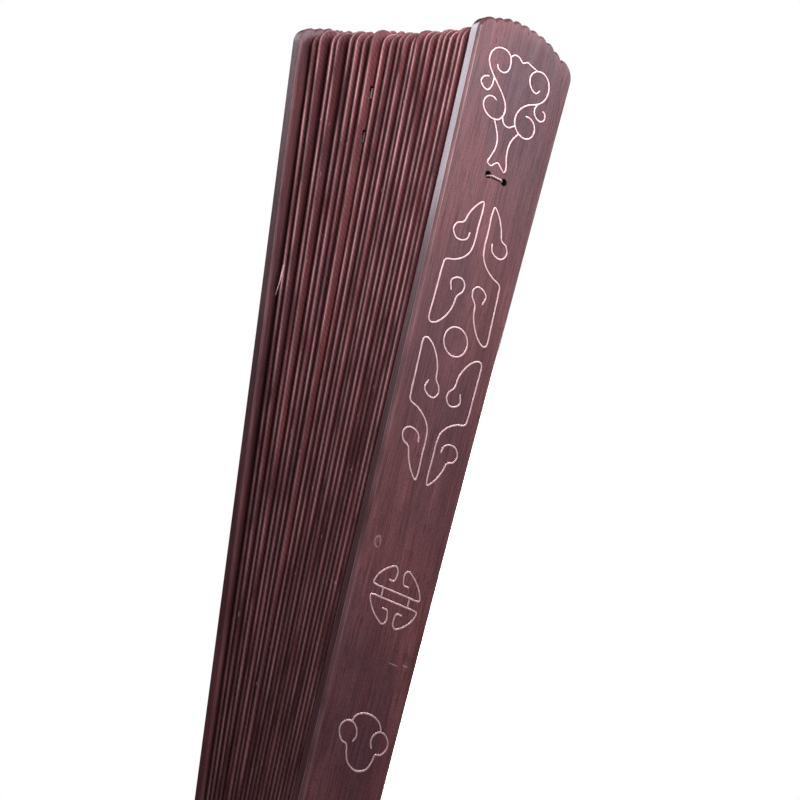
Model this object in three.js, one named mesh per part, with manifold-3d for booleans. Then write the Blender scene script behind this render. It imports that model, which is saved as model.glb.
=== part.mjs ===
// A folding fan of the leaf (brise) kind, nearly shut, in dark sandalwood.
// Twenty-one thin wooden leaves lie between two thick guards on one rivet, a little apart at the top.
// A ribbon runs through slits near the leaves' top ends, a silk thread is stitched through each guard, and
// the front guard is inlaid with wire.
// Millimetres, +Z up along the front guard, the rivet along Y, the front guard's face towards -Y.
// The origin is the centre of the rivet head's flat face, in the rear guard's outer face.

import * as THREE from "three";
import { mergeVertices } from "three/addons/utils/BufferGeometryUtils.js";
import Module from "manifold-3d";

const wasm = await Module();
wasm.setup();

// ---- Driving dimensions ----

// Blades: the outline that leaves and guards share.
const RIVET_TO_TOP = 209.2; // the front guard's
const FRONT_GUARD_EXTRA = 2; // how far the front guard stands above the other blades
const TOP_WIDTH = 27;
const WAIST_WIDTH = 20.9; // where the side edges' end tangents meet, halfway up
const RIVET_END_WIDTH = 18.7;
const TOP_RISE = 2.4; // how far the arched top stands above its corners
const TOP_POWER = 2.5; // how flat the arch's middle is
const TOP_SKEW = 0.5; // how much higher the left corner is than the middle of the two, and the right lower
const TOP_CORNER_RADIUS = 4;
const SCALLOPS = 8;
const SCALLOP_DEPTH = 0.5;

// Stack.
const LEAF_THICKNESS = 0.8;
const GUARD_THICKNESS = 2.8;
const BLADE_GAP = 0.34; // between neighbouring blades
const GUARD_CHAMFER = 0.6;

// How the fan stands open at rest: degrees from the front guard back to each leaf, first leaf first. The
// leaves lie unevenly, in small bunches.
const LEAF_ANGLES = [
  4.2, 4.05, 3.6, 3.5, 3.0, 2.85, 2.6, 2.45, 1.85, 1.7, 1.4, 1.38, 1.15, 1.12, 1.0, 0.85, 0.6, 0.58,
  0.42, 0.34, 0.24,
];
const REAR_ANGLE = 4.9;

// How the blades lean back from the rivet's crosswise plane, as depth to height: they spread towards the top.
const LEAF_LEAN_STEP = 0.0026; // each leaf to the next
const REAR_LEAN = 0.07;

// Rivet.
const SHANK_RADIUS = 1.5;
const SHANK_CLEARANCE = 0.25;
const HEAD_RADIUS = 3.4;
const HEAD_THICKNESS = 0.9;
const HEAD_CLEARANCE = 0.3;
const WASHER_THICKNESS = 0.8;
const PEEN_RADIUS = 2.5;
const PEEN_HEIGHT = 0.7;
const PEEN_SHOULDER = [0.6, 0.8]; // the button's bend, as shares of its radius and height
const PEEN_GAP = 0.2;

// Ribbon and its slits.
const SLIT_ROWS = [17, 27]; // below the top, to each slit's middle
const SLIT_HEIGHT = 3.2;
const SLIT_WIDTH = 0.8;
const SLIT_MARGIN = 3.5; // side edge to the slit's middle
const RIBBON_WIDTH = 2.4;
const RIBBON_THICKNESS = 0.12;

// Thread stitched through each guard.
const STITCH_BELOW_TOP = 34.8;
const STITCH_SPAN = 4.4;
const STITCH_HOLE_RADIUS = 0.75;
const THREAD_RADIUS = 0.28;
const STITCH_ARCH = 0.45; // how far the front stitch's middle stands off the guard
const STITCH_MOUTH = 0.92; // share of the half span at which the thread leaves its hole
const STITCH_GROOVE_DEPTH = 1;

// Wire inlay in the front guard.
const WIRE_WIDTH = 0.56;
const WIRE_DEPTH = 0.5;
const WIRE_CLEARANCE = 0.06; // each side and below
const RING_RADIUS = 3.1;
const RING_BELOW_TOP = 71.6;
const MEDALLION_BELOW_TOP = 126.9;
const MEDALLION_ASIDE = 0.7; // to the right of the guard's middle
const CLOUD_HEAD_BELOW_TOP = 158.2;
const CLOUD_HEAD_ASIDE = 1.4;
const CLOUD_SCROLL_BELOW_TOP = 19.2;

// Mesh fineness.
const SIDE_STEPS = 4;
const CORNER_STEPS = 2;
const SCALLOP_STEPS = 2;
const RIVET_END_STEPS = 10;
const BORE_SIDES = 12;
const SMALL_HOLE_SIDES = 8;
const RING_SIDES = 12;
const THREAD_SIDES = 6;
const THREAD_STEPS = 14;
const STROKE_STEP = 1.9; // length of wire to each straight piece
const SHARPEST_MITRE = Math.SQRT1_2; // least cosine of half a bend that a wire's corner follows
const TOLERANCE = 1e-4;
const CUT_MARGIN = 1; // how far a cutting tool runs past the face it cuts

// ---- Values that follow from them ----

const LEAVES = LEAF_ANGLES.length;
const BLADE_PITCH = LEAF_THICKNESS + BLADE_GAP;
const FRONT_GUARD_BACK = -(GUARD_THICKNESS + BLADE_GAP + LEAVES * BLADE_PITCH);
const FRONT_FACE = FRONT_GUARD_BACK - GUARD_THICKNESS;
const SHANK_HOLE_RADIUS = SHANK_RADIUS + SHANK_CLEARANCE;
const COUNTERBORE_RADIUS = HEAD_RADIUS + HEAD_CLEARANCE;
const STITCH_HEIGHT = RIVET_TO_TOP - STITCH_BELOW_TOP;
const SHOULDER_HEIGHT = RIVET_TO_TOP - TOP_RISE - TOP_CORNER_RADIUS;
const LEAF_TOP = RIVET_TO_TOP - FRONT_GUARD_EXTRA;
const ARCH_HALF_WIDTH = TOP_WIDTH / 2 - TOP_CORNER_RADIUS;

// ---- Materials ----

const woodMaterial = (color) => () =>
  new THREE.MeshStandardMaterial({ color, roughness: 0.5, metalness: 0 });
const guardWood = woodMaterial(0x5a343b);
const leafWood = woodMaterial(0x6b4147);
const silkMaterial = () =>
  new THREE.MeshStandardMaterial({ color: 0xe8c4bf, roughness: 0.8, metalness: 0 });
const wireMaterial = () =>
  new THREE.MeshStandardMaterial({ color: 0xf0d0cc, roughness: 0.3, metalness: 0.9 });
const brassMaterial = () =>
  new THREE.MeshStandardMaterial({ color: 0xb08d4f, roughness: 0.35, metalness: 1 });

// ---- Solids ----

// A closed geometry as a manifold-3d solid.
function solidOf(geometry) {
  const bare = geometry.clone();
  bare.deleteAttribute("normal");
  bare.deleteAttribute("uv");
  const merged = mergeVertices(bare, TOLERANCE);
  return new wasm.Manifold(
    new wasm.Mesh({
      numProp: 3,
      vertProperties: merged.attributes.position.array,
      triVerts: new Uint32Array(merged.index.array),
    }),
  );
}

// A manifold-3d solid as a geometry.
function geometryOf(solid) {
  const mesh = solid.getMesh();
  const geometry = new THREE.BufferGeometry();
  geometry.setAttribute("position", new THREE.BufferAttribute(mesh.vertProperties, 3));
  geometry.setIndex(new THREE.BufferAttribute(mesh.triVerts, 1));
  geometry.computeVertexNormals();
  return geometry;
}

// A shape drawn in X and Z, as a plate from backY forwards (towards -Y).
function plate(shape, backY, thickness, bevel = 0) {
  const geometry = new THREE.ExtrudeGeometry(shape, {
    depth: thickness - 2 * bevel,
    bevelEnabled: bevel > 0,
    bevelThickness: bevel,
    bevelSize: bevel,
    bevelOffset: -bevel,
    bevelSegments: 1,
    curveSegments: SMALL_HOLE_SIDES,
  });
  geometry.translate(0, 0, bevel);
  geometry.rotateX(Math.PI / 2);
  geometry.translate(0, backY, 0);
  return geometry;
}

// A cylinder along Y between two depths.
function rod(radius, y0, y1, sides, x = 0, z = 0) {
  const geometry = new THREE.CylinderGeometry(radius, radius, Math.abs(y1 - y0), sides);
  geometry.translate(x, (y0 + y1) / 2, z);
  return geometry;
}

function cut(geometry, tools) {
  let solid = solidOf(geometry);
  for (const tool of tools) {
    solid = solid.subtract(solidOf(tool));
  }
  return geometryOf(solid);
}

function join(geometries) {
  let solid = solidOf(geometries[0]);
  for (const other of geometries.slice(1)) {
    solid = solid.add(solidOf(other));
  }
  return geometryOf(solid);
}

// A named piece, leant back by depth to height and then turned about the rivet.
function mesh(name, geometry, material, degrees = 0, lean = 0) {
  geometry.applyMatrix4(new THREE.Matrix4().makeShear(0, 0, 0, 0, 0, lean));
  geometry.computeVertexNormals();
  const made = new THREE.Mesh(geometry, material());
  made.name = name;
  made.rotation.y = THREE.MathUtils.degToRad(-degrees);
  return made;
}

// ---- Blade outline ----

// Half the blade's width at a height above the rivet: a parabola that flares towards the top.
function halfWidth(height) {
  const t = Math.min(Math.max(height / SHOULDER_HEIGHT, 0), 1);
  const low = (1 - t) * (1 - t) * RIVET_END_WIDTH;
  const middle = 2 * t * (1 - t) * WAIST_WIDTH;
  const high = t * t * TOP_WIDTH;
  return (low + middle + high) / 2;
}

// The top edge: a flat arch cut into equal scallops, from right to left, lower by a drop than the highest.
function scallopedTop(drop) {
  const steps = SCALLOPS * SCALLOP_STEPS;
  const points = [];
  for (let i = 0; i <= steps; i += 1) {
    const across = 1 - (2 * i) / steps;
    const fall = TOP_RISE * Math.abs(across) ** TOP_POWER + TOP_SKEW * across;
    const bump = Math.abs(Math.sin((i * Math.PI) / SCALLOP_STEPS));
    const z = RIVET_TO_TOP - drop - fall - SCALLOP_DEPTH * (1 - bump);
    points.push(new THREE.Vector2(ARCH_HALF_WIDTH * across, z));
  }
  return points;
}

function arcPoints(x, z, radius, from, to, steps) {
  const points = [];
  for (let i = 0; i <= steps; i += 1) {
    const a = THREE.MathUtils.degToRad(from + ((to - from) * i) / steps);
    points.push(new THREE.Vector2(x + radius * Math.cos(a), z + radius * Math.sin(a)));
  }
  return points;
}

// Points up or down a side edge, between the rounded lower end and the top corner.
function sidePoints(side, upwards) {
  const points = [];
  for (let i = 1; i < SIDE_STEPS; i += 1) {
    const t = upwards ? i / SIDE_STEPS : 1 - i / SIDE_STEPS;
    const z = SHOULDER_HEIGHT * t;
    points.push(new THREE.Vector2(side * halfWidth(z), z));
  }
  return points;
}

function topCorner(side, drop) {
  const z = SHOULDER_HEIGHT - drop - side * TOP_SKEW;
  const from = side > 0 ? 0 : 90;
  return arcPoints(side * ARCH_HALF_WIDTH, z, TOP_CORNER_RADIUS, from, from + 90, CORNER_STEPS + 1);
}

function bladeShape(drop = 0) {
  const top = scallopedTop(drop);
  const right = topCorner(1, drop);
  const left = topCorner(-1, drop);
  return new THREE.Shape([
    ...arcPoints(0, 0, RIVET_END_WIDTH / 2, 180, 360, RIVET_END_STEPS),
    ...sidePoints(1, true),
    ...right.slice(0, -1),
    ...top,
    ...left.slice(1),
    ...sidePoints(-1, false),
  ]);
}

// The tool that bores any blade for the rivet's shank.
const shankHoleTool = () =>
  rod(SHANK_HOLE_RADIUS, FRONT_FACE - CUT_MARGIN, CUT_MARGIN, BORE_SIDES);

// ---- Leaves and ribbon ----

// The slit's middle, measured in from the blade's side edge at that height.
const slitX = (height) => halfWidth(height) - SLIT_MARGIN;

function slitTool(side, z, backY) {
  const geometry = new THREE.BoxGeometry(SLIT_WIDTH, LEAF_THICKNESS + 2 * CUT_MARGIN, SLIT_HEIGHT);
  geometry.translate(side * slitX(z), backY - LEAF_THICKNESS / 2, z);
  return geometry;
}

function leafGeometry(backY) {
  const slits = SLIT_ROWS.flatMap((below) =>
    [-1, 1].map((side) => slitTool(side, LEAF_TOP - below, backY)),
  );
  return cut(plate(bladeShape(FRONT_GUARD_EXTRA), backY, LEAF_THICKNESS), [shankHoleTool(), ...slits]);
}

// One leaf's length of ribbon: it crosses the leaf at the upper slits, turns down and crosses back.
function ribbonGeometry(leafBackY) {
  const [upper, lower] = SLIT_ROWS.map((below) => LEAF_TOP - below);
  const half = RIBBON_WIDTH / 2;
  const turn = slitX(upper);
  const shape = new THREE.Shape([
    new THREE.Vector2(-slitX(upper), upper + half),
    new THREE.Vector2(-slitX(upper), upper - half),
    new THREE.Vector2(turn - RIBBON_WIDTH, upper - half),
    new THREE.Vector2(turn - RIBBON_WIDTH, lower + half),
    new THREE.Vector2(-slitX(lower), lower + half),
    new THREE.Vector2(-slitX(lower), lower - half),
    new THREE.Vector2(turn, lower - half),
    new THREE.Vector2(turn, upper + half),
  ]);
  const space = (BLADE_GAP - RIBBON_THICKNESS) / 2;
  return plate(shape, leafBackY - LEAF_THICKNESS - space, RIBBON_THICKNESS);
}

// ---- Wire inlay ----

// A smooth line through hand-set points, in straight pieces of about STROKE_STEP.
function smooth(points, closed = false) {
  const knots = points.map(([x, z]) => new THREE.Vector3(x, z, 0));
  const curve = new THREE.CatmullRomCurve3(knots, closed, "centripetal");
  const pieces = Math.max(4, Math.round(curve.getLength() / STROKE_STEP));
  const made = curve.getSpacedPoints(pieces);
  if (closed) made.pop();
  return made.map((p) => new THREE.Vector2(p.x, p.y));
}

// The point beside point i, off to one side of the line by a distance, mitred at the bends.
function beside(line, i, closed, distance) {
  const count = line.length;
  const before = closed ? line[(i - 1 + count) % count] : line[Math.max(i - 1, 0)];
  const after = closed ? line[(i + 1) % count] : line[Math.min(i + 1, count - 1)];
  const into = line[i].clone().sub(before).normalize();
  const out = after.clone().sub(line[i]).normalize();
  const along = into.clone().add(out).normalize();
  const isEnd = before === line[i] || after === line[i];
  const reach = isEnd ? distance : distance / Math.max(along.dot(out), SHARPEST_MITRE);
  return new THREE.Vector2(line[i].x - along.y * reach, line[i].y + along.x * reach);
}

// The band of a given width along an open or closed line.
function bandShape(line, closed, width) {
  const left = line.map((_, i) => beside(line, i, closed, width / 2));
  const right = line.map((_, i) => beside(line, i, closed, -width / 2));
  if (!closed) return new THREE.Shape([...right, ...left.reverse()]);
  const turnsLeft = !THREE.ShapeUtils.isClockWise(line);
  const shape = new THREE.Shape(turnsLeft ? right : left);
  shape.holes.push(new THREE.Path(turnsLeft ? left : right));
  return shape;
}

// A stroke is { line, closed }. A motif is a list of strokes that touch, so it is one piece of wire work.
const stroke = (points, closed = false) => ({ line: smooth(points, closed), closed });
const moved = (points, x, z) => points.map(([px, pz]) => [px + x, pz + z]);
const flipped = (points, sx, sz) => points.map(([px, pz]) => [px * sx, pz * sz]);

// The asymmetric cloud scroll near the top. Heights are above the scroll's own middle.
function cloudScroll() {
  const z = RIVET_TO_TOP - CLOUD_SCROLL_BELOW_TOP;
  const strokes = [
    // Upper left spiral, through an S, to the lower left spiral.
    [[-6.7, 7.8], [-6.1, 6.9], [-4.6, 6.7], [-3.6, 7.6], [-3.4, 9.4], [-4, 10.9], [-5.4, 11.6],
      [-7.4, 11.3], [-8.7, 10], [-9, 8.1], [-8.2, 6.4], [-6.9, 5], [-5, 3.4], [-3.4, 1.9],
      [-2.3, 0.4], [-1.9, -1], [-2.2, -2.4], [-3.2, -3.5], [-4.8, -3.8], [-6.5, -3.3],
      [-7.6, -2.1], [-7.7, -0.7], [-6.9, 0.4], [-5.7, 0.7], [-4.7, 0.3]],
    // Left hook.
    [[-8, 4.5], [-9.2, 3.9], [-9.7, 2.8], [-9, 1.8], [-7.6, 1.5], [-6.8, 2.6], [-6.6, 4.9]],
    // Wave that joins the two upper spirals.
    [[-3.8, 10.6], [-2.9, 11.5], [-1.6, 11.5], [-0.4, 10.8], [0.8, 11.4], [2.1, 11.1], [3.9, 10.7]],
    // Upper right spiral to the lower right spiral.
    [[5.7, 7], [4.8, 6], [3.5, 6.4], [2.5, 7.9], [2.6, 9.5], [3.9, 10.7], [5.7, 10.9], [7.3, 9.8],
      [8, 7.7], [7.5, 5.6], [6, 4], [3.5, 2.7], [1.8, 1], [1.1, -1], [1.5, -2.9], [2.9, -4.2],
      [4.7, -4.5], [6.2, -3.7], [6.8, -2.2], [6.3, -0.7], [5, 0.2], [3.6, 0.2]],
    // Right hook.
    [[6, 4], [5.5, 2.5], [6.1, 1.2], [7.6, 0.7], [8.6, 1.5], [8.4, 2.7], [7.6, 3.1]],
    // Link between the two lower spirals.
    [[-2.2, -2.4], [-1.5, -3.7], [-0.1, -4], [1.5, -2.9]],
    // Stem that hangs below, with a notched foot.
    [[-4.1, -3.7], [-2.9, -5.7], [-2.1, -7.5], [-2, -9.5], [-2.7, -11.7], [-3.1, -13.2], [-2.1, -13.6],
      [-1.3, -12.8], [-0.5, -12.3], [0.4, -12.9], [1.6, -13.6], [1.9, -12.8], [1.3, -10.3], [1.2, -8],
      [1.7, -6.1], [2.9, -4.2]],
  ];
  return strokes.map((points) => stroke(moved(points, 0, z)));
}

// One quarter of the long scroll: a hooked leaf tip, a shoulder, a straight side and an inner curl.
const LONG_SCROLL_QUARTER = [
  [3.1, 23.3], [3.5, 21.7], [4.8, 20.9], [6.4, 21], [7.4, 22.4], [6.8, 24], [5.3, 24.8], [4.5, 27],
  [3.2, 29.3], [1.6, 30.8], [1.3, 29.4], [1.4, 25], [1.4, 21.8], [1.8, 19.6], [3.1, 17.8],
  [5.2, 16.4], [7.5, 15.5], [7.8, 13.8], [7.9, 10], [8, 6.2], [7.9, 2.1], [7.2, 1.7], [5.8, 2.3],
  [4.1, 4.2], [2.9, 6.8], [2.5, 9.2], [1.4, 10.6], [1.2, 12], [2.1, 13.1], [3.6, 13], [4.8, 11.9],
  [4.3, 9.9],
];
function longScroll(sideX, sideZ) {
  const points = flipped(LONG_SCROLL_QUARTER, sideX, sideZ);
  return [stroke(moved(points, 0, RIVET_TO_TOP - RING_BELOW_TOP))];
}

function ring() {
  const z = RIVET_TO_TOP - RING_BELOW_TOP;
  const line = arcPoints(0, z, RING_RADIUS, 0, 360, RING_SIDES).slice(0, -1);
  return [{ line, closed: true }];
}

// A round fret: two split domes back to back, joined by two short bars.
function medallion() {
  const z = RIVET_TO_TOP - MEDALLION_BELOW_TOP;
  const barX = 3.5; // the bars, either side of the middle
  const bar = 1.05; // half the space between the domes
  const half = [
    [2.7, 3], [1.3, 3.1], [0.95, 4], [0.95, 5.4], [1.7, 6.1], [3.2, 5.4], [4.9, 3.9], [5.8, 2.5],
    [6.1, 1.3], [5.4, bar], [3.4, bar], [0, bar],
  ];
  const dome = [...half, ...flipped(half.slice(0, -1), -1, 1).reverse()];
  const domes = [dome, flipped(dome, 1, -1)];
  const strokes = domes.map((points) => stroke(moved(points, MEDALLION_ASIDE, z)));
  for (const x of [MEDALLION_ASIDE - barX, MEDALLION_ASIDE + barX]) {
    const ends = [new THREE.Vector2(x, z - bar), new THREE.Vector2(x, z + bar)];
    strokes.push({ line: ends, closed: false });
  }
  return strokes;
}

// A cloud-head outline with curled shoulders under an arc.
function cloudHead() {
  const z = RIVET_TO_TOP - CLOUD_HEAD_BELOW_TOP;
  const half = [
    [2.5, 0.5], [1.9, 1.8], [2.3, 3.3], [3.5, 4.3], [5, 4.2], [6.2, 2.9], [6.1, 1.3], [5.1, 0],
    [3.8, -0.4], [3.3, -2.1], [2.4, -3.8], [0, -4.8],
  ];
  const body = [...half, ...flipped(half.slice(0, -1), -1, 1).reverse()];
  const arc = [[3.9, 4.3], [3.1, 5.8], [1.6, 6.7], [0, 6.9], [-1.6, 6.7], [-3.1, 5.8], [-3.9, 4.3]];
  return [body, arc].map((points) => stroke(moved(points, CLOUD_HEAD_ASIDE, z)));
}

function motifs() {
  return {
    inlay_cloud_scroll: cloudScroll(),
    inlay_scroll_upper_left: longScroll(-1, 1),
    inlay_scroll_upper_right: longScroll(1, 1),
    inlay_scroll_lower_left: longScroll(-1, -1),
    inlay_scroll_lower_right: longScroll(1, -1),
    inlay_ring: ring(),
    inlay_medallion: medallion(),
    inlay_cloud_head: cloudHead(),
  };
}

// A motif's wire, flush with the front guard's face.
function wireGeometry(strokes) {
  const bands = strokes.map(({ line, closed }) =>
    plate(bandShape(line, closed, WIRE_WIDTH), FRONT_FACE + WIRE_DEPTH, WIRE_DEPTH),
  );
  return join(bands);
}

// An open line run on at both ends by a length, so that a groove is longer than its wire.
function lengthened(line, extra) {
  const first = line[0].clone().sub(line[1]).setLength(extra);
  const last = line.at(-1).clone().sub(line.at(-2)).setLength(extra);
  return [line[0].clone().add(first), ...line.slice(1, -1), line.at(-1).clone().add(last)];
}

function grooveTools(strokes) {
  const width = WIRE_WIDTH + 2 * WIRE_CLEARANCE;
  const depth = WIRE_DEPTH + WIRE_CLEARANCE;
  return strokes.map(({ line, closed }) => {
    const path = closed ? line : lengthened(line, WIRE_CLEARANCE);
    return plate(bandShape(path, closed, width), FRONT_FACE + depth, depth + CUT_MARGIN);
  });
}

// ---- Guards ----

function stitchHoleTools() {
  return [-1, 1].map((side) =>
    rod(
      STITCH_HOLE_RADIUS,
      FRONT_FACE - CUT_MARGIN,
      CUT_MARGIN,
      SMALL_HOLE_SIDES,
      (side * STITCH_SPAN) / 2,
      STITCH_HEIGHT,
    ),
  );
}

// A slab that takes off the chamfer on a guard's inner side.
function slab(y0, y1) {
  const size = 2 * RIVET_TO_TOP + TOP_WIDTH + RIVET_END_WIDTH;
  const geometry = new THREE.BoxGeometry(size, Math.abs(y1 - y0), size);
  geometry.translate(0, (y0 + y1) / 2, 0);
  return geometry;
}

function frontGuardGeometry() {
  const spare = GUARD_CHAMFER + CUT_MARGIN;
  const blank = plate(bladeShape(), FRONT_GUARD_BACK + spare, GUARD_THICKNESS + spare, GUARD_CHAMFER);
  const counterbore = WASHER_THICKNESS + HEAD_CLEARANCE;
  return cut(blank, [
    slab(FRONT_GUARD_BACK, FRONT_GUARD_BACK + 2 * spare),
    shankHoleTool(),
    rod(COUNTERBORE_RADIUS, FRONT_FACE - CUT_MARGIN, FRONT_FACE + counterbore, BORE_SIDES),
    ...stitchHoleTools(),
    ...Object.values(motifs()).flatMap(grooveTools),
  ]);
}

function rearGuardGeometry() {
  const spare = GUARD_CHAMFER + CUT_MARGIN;
  const outline = bladeShape(FRONT_GUARD_EXTRA);
  const blank = plate(outline, 0, GUARD_THICKNESS + spare, GUARD_CHAMFER);
  const counterbore = HEAD_THICKNESS + HEAD_CLEARANCE + REAR_LEAN * COUNTERBORE_RADIUS;
  const groove = new THREE.BoxGeometry(
    STITCH_SPAN,
    STITCH_GROOVE_DEPTH + CUT_MARGIN,
    2 * STITCH_HOLE_RADIUS * Math.cos(Math.PI / SMALL_HOLE_SIDES),
  );
  groove.translate(0, (CUT_MARGIN - STITCH_GROOVE_DEPTH) / 2, STITCH_HEIGHT);
  return cut(blank, [
    slab(-GUARD_THICKNESS, -GUARD_THICKNESS - 2 * spare),
    shankHoleTool(),
    rod(COUNTERBORE_RADIUS, -counterbore, CUT_MARGIN, BORE_SIDES),
    ...stitchHoleTools(),
    groove,
  ]);
}

// ---- Thread ----

// A stitch through a guard's two holes: up one, over the outer face and down the other.
function stitchGeometry(innerY, outerY, overY) {
  const x = STITCH_SPAN / 2;
  const z = STITCH_HEIGHT;
  const path = new THREE.CatmullRomCurve3(
    [
      new THREE.Vector3(-x, innerY, z),
      new THREE.Vector3(-x, (innerY + outerY) / 2, z),
      new THREE.Vector3(-x * STITCH_MOUTH, outerY, z),
      new THREE.Vector3(-x / 2, overY, z),
      new THREE.Vector3(x / 2, overY, z),
      new THREE.Vector3(x * STITCH_MOUTH, outerY, z),
      new THREE.Vector3(x, (innerY + outerY) / 2, z),
      new THREE.Vector3(x, innerY, z),
    ],
    false,
    "centripetal",
  );
  const section = new THREE.Shape(arcPoints(0, 0, THREAD_RADIUS, 0, 360, THREAD_SIDES).slice(0, -1));
  return new THREE.ExtrudeGeometry(section, { steps: THREAD_STEPS, extrudePath: path });
}

function frontStitchGeometry() {
  return stitchGeometry(FRONT_GUARD_BACK, FRONT_FACE, FRONT_FACE - STITCH_ARCH - THREAD_RADIUS / 2);
}

function rearStitchGeometry() {
  const under = -STITCH_GROOVE_DEPTH / 2;
  return stitchGeometry(-GUARD_THICKNESS, under - THREAD_RADIUS, under);
}

// ---- Rivet ----

// A solid of revolution about the rivet's axis. The profile runs from the front end to the back.
function turned(profile) {
  const points = profile.map(([radius, y]) => new THREE.Vector2(radius, y));
  return new THREE.LatheGeometry(points, BORE_SIDES);
}

// Flat head in the rear guard, shank through every blade, and a peened button over the washer.
function rivetGeometry() {
  const peenBase = FRONT_FACE - PEEN_GAP;
  const [bendOut, bendUp] = PEEN_SHOULDER;
  return turned([
    [0, peenBase - PEEN_HEIGHT],
    [PEEN_RADIUS * bendOut, peenBase - PEEN_HEIGHT * bendUp],
    [PEEN_RADIUS, peenBase],
    [SHANK_RADIUS, peenBase],
    [SHANK_RADIUS, -HEAD_THICKNESS],
    [HEAD_RADIUS, -HEAD_THICKNESS],
    [HEAD_RADIUS, 0],
    [0, 0],
  ]);
}

function washerGeometry() {
  const back = FRONT_FACE + WASHER_THICKNESS;
  const inner = SHANK_RADIUS + HEAD_CLEARANCE;
  return turned([
    [inner, FRONT_FACE],
    [HEAD_RADIUS, FRONT_FACE],
    [HEAD_RADIUS, back],
    [inner, back],
    [inner, FRONT_FACE],
  ]);
}

// ---- Assembly ----

const fan = new THREE.Group();
fan.name = "folding_fan";

fan.add(mesh("rear_guard", rearGuardGeometry(), guardWood, REAR_ANGLE, REAR_LEAN));
fan.add(mesh("thread_rear", rearStitchGeometry(), silkMaterial, REAR_ANGLE, REAR_LEAN));

// Leaf 1 lies on the rear guard, and each next one lies in front of the last.
LEAF_ANGLES.forEach((angle, i) => {
  const number = String(i + 1).padStart(2, "0");
  const backY = -(GUARD_THICKNESS + BLADE_GAP + i * BLADE_PITCH);
  const lean = (LEAVES - i) * LEAF_LEAN_STEP;
  fan.add(mesh(`leaf_${number}`, leafGeometry(backY), leafWood, angle, lean));
  fan.add(mesh(`ribbon_${number}`, ribbonGeometry(backY), silkMaterial, angle, lean));
});

fan.add(mesh("front_guard", frontGuardGeometry(), guardWood));
fan.add(mesh("thread_front", frontStitchGeometry(), silkMaterial));
for (const [name, strokes] of Object.entries(motifs())) {
  fan.add(mesh(name, wireGeometry(strokes), wireMaterial));
}

fan.add(mesh("rivet", rivetGeometry(), brassMaterial));
fan.add(mesh("rivet_washer", washerGeometry(), brassMaterial));

export default fan;
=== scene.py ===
"""Looks of a nearly shut sandalwood folding fan: thin leaves between two inlaid guards on one brass rivet.

Everything is in metres and in the CAD frame: the rivet lies along Y with its rear head's face at the origin,
the front guard stands along +Z with its outer face towards -Y, and the fan opens towards +X.
"""
import logging
import math
from dataclasses import dataclass, field, replace
from enum import Enum
from typing import Sequence

import bpy
import numpy as np
from mathutils import Matrix, Vector


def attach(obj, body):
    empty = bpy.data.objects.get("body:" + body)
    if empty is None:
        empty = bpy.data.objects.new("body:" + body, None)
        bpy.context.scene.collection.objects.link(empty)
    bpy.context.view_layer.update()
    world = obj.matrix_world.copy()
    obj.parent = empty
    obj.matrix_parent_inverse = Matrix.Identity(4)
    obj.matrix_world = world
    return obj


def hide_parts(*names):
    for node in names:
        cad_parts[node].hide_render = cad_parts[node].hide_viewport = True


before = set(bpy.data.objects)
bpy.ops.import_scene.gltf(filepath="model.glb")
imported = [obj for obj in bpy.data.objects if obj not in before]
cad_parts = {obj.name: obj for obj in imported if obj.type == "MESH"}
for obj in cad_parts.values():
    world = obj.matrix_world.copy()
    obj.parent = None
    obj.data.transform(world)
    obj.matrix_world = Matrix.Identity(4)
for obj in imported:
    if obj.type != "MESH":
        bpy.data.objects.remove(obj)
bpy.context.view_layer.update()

Array = np.ndarray
Colour = tuple[float, float, float]
Strokes = Sequence["Stroke"]

MM = 0.001
LEAVES = 21
FRONT_GUARD_EXTRA = 2.0 * MM
WAVE_PERIOD = math.tau**2 / 10

log = logging.getLogger("folding_fan")


# ---------------------------------------------------------------- mesh helpers


@dataclass
class Patch:
    """Some faces of a piece, with the surface coordinates and the finish that they carry.

    Attributes:
        quads: Vertex numbers, four to a face.
        uv: Surface coordinates in metres, one pair to each vertex of the whole piece.
        finish: Which of the piece's materials the faces wear.
    """

    quads: Array
    uv: Array
    finish: int = 0


def grid_quads(numbers: Array) -> Array:
    """Return the faces between neighbouring rows and columns of a table of vertex numbers.

    Formula: face (i, j) joins (i, j), (i, j + 1), (i + 1, j + 1) and (i + 1, j).

    Args:
        numbers: Vertex numbers, rows by columns.

    Returns:
        Quads, rows - 1 by columns - 1 by 4.
    """
    corners = (numbers[:-1, :-1], numbers[:-1, 1:], numbers[1:, 1:], numbers[1:, :-1])
    return np.stack(corners, axis=-1)


def cap_quads(ring: Array) -> Array:
    """Return the faces that close a ring of vertices, in rungs like a ladder's.

    Formula: with the first half going up one rail and the second half coming down the other, each
    face joins neighbouring points of one rail to the two opposite.

    Args:
        ring: Vertex numbers round the ring, an even number of them.

    Returns:
        Quads, half the ring's count less one.
    """
    half = len(ring) // 2
    low, high = ring[:half], ring[::-1][:half]
    return np.stack((low[:-1], low[1:], high[1:], high[:-1]), axis=1)


def turned_about_rivet(points: Array, degrees: float) -> Array:
    """Turn points about the rivet's axis, +Z towards +X.

    Formula: x' = x cos a + z sin a and z' = z cos a - x sin a, with y unchanged.

    Args:
        points: Places, n by 3.
        degrees: The angle a.

    Returns:
        The turned places, n by 3.
    """
    a = math.radians(degrees)
    x, y, z = points.T
    return np.stack((x * math.cos(a) + z * math.sin(a), y, z * math.cos(a) - x * math.sin(a)), axis=1)


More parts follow.
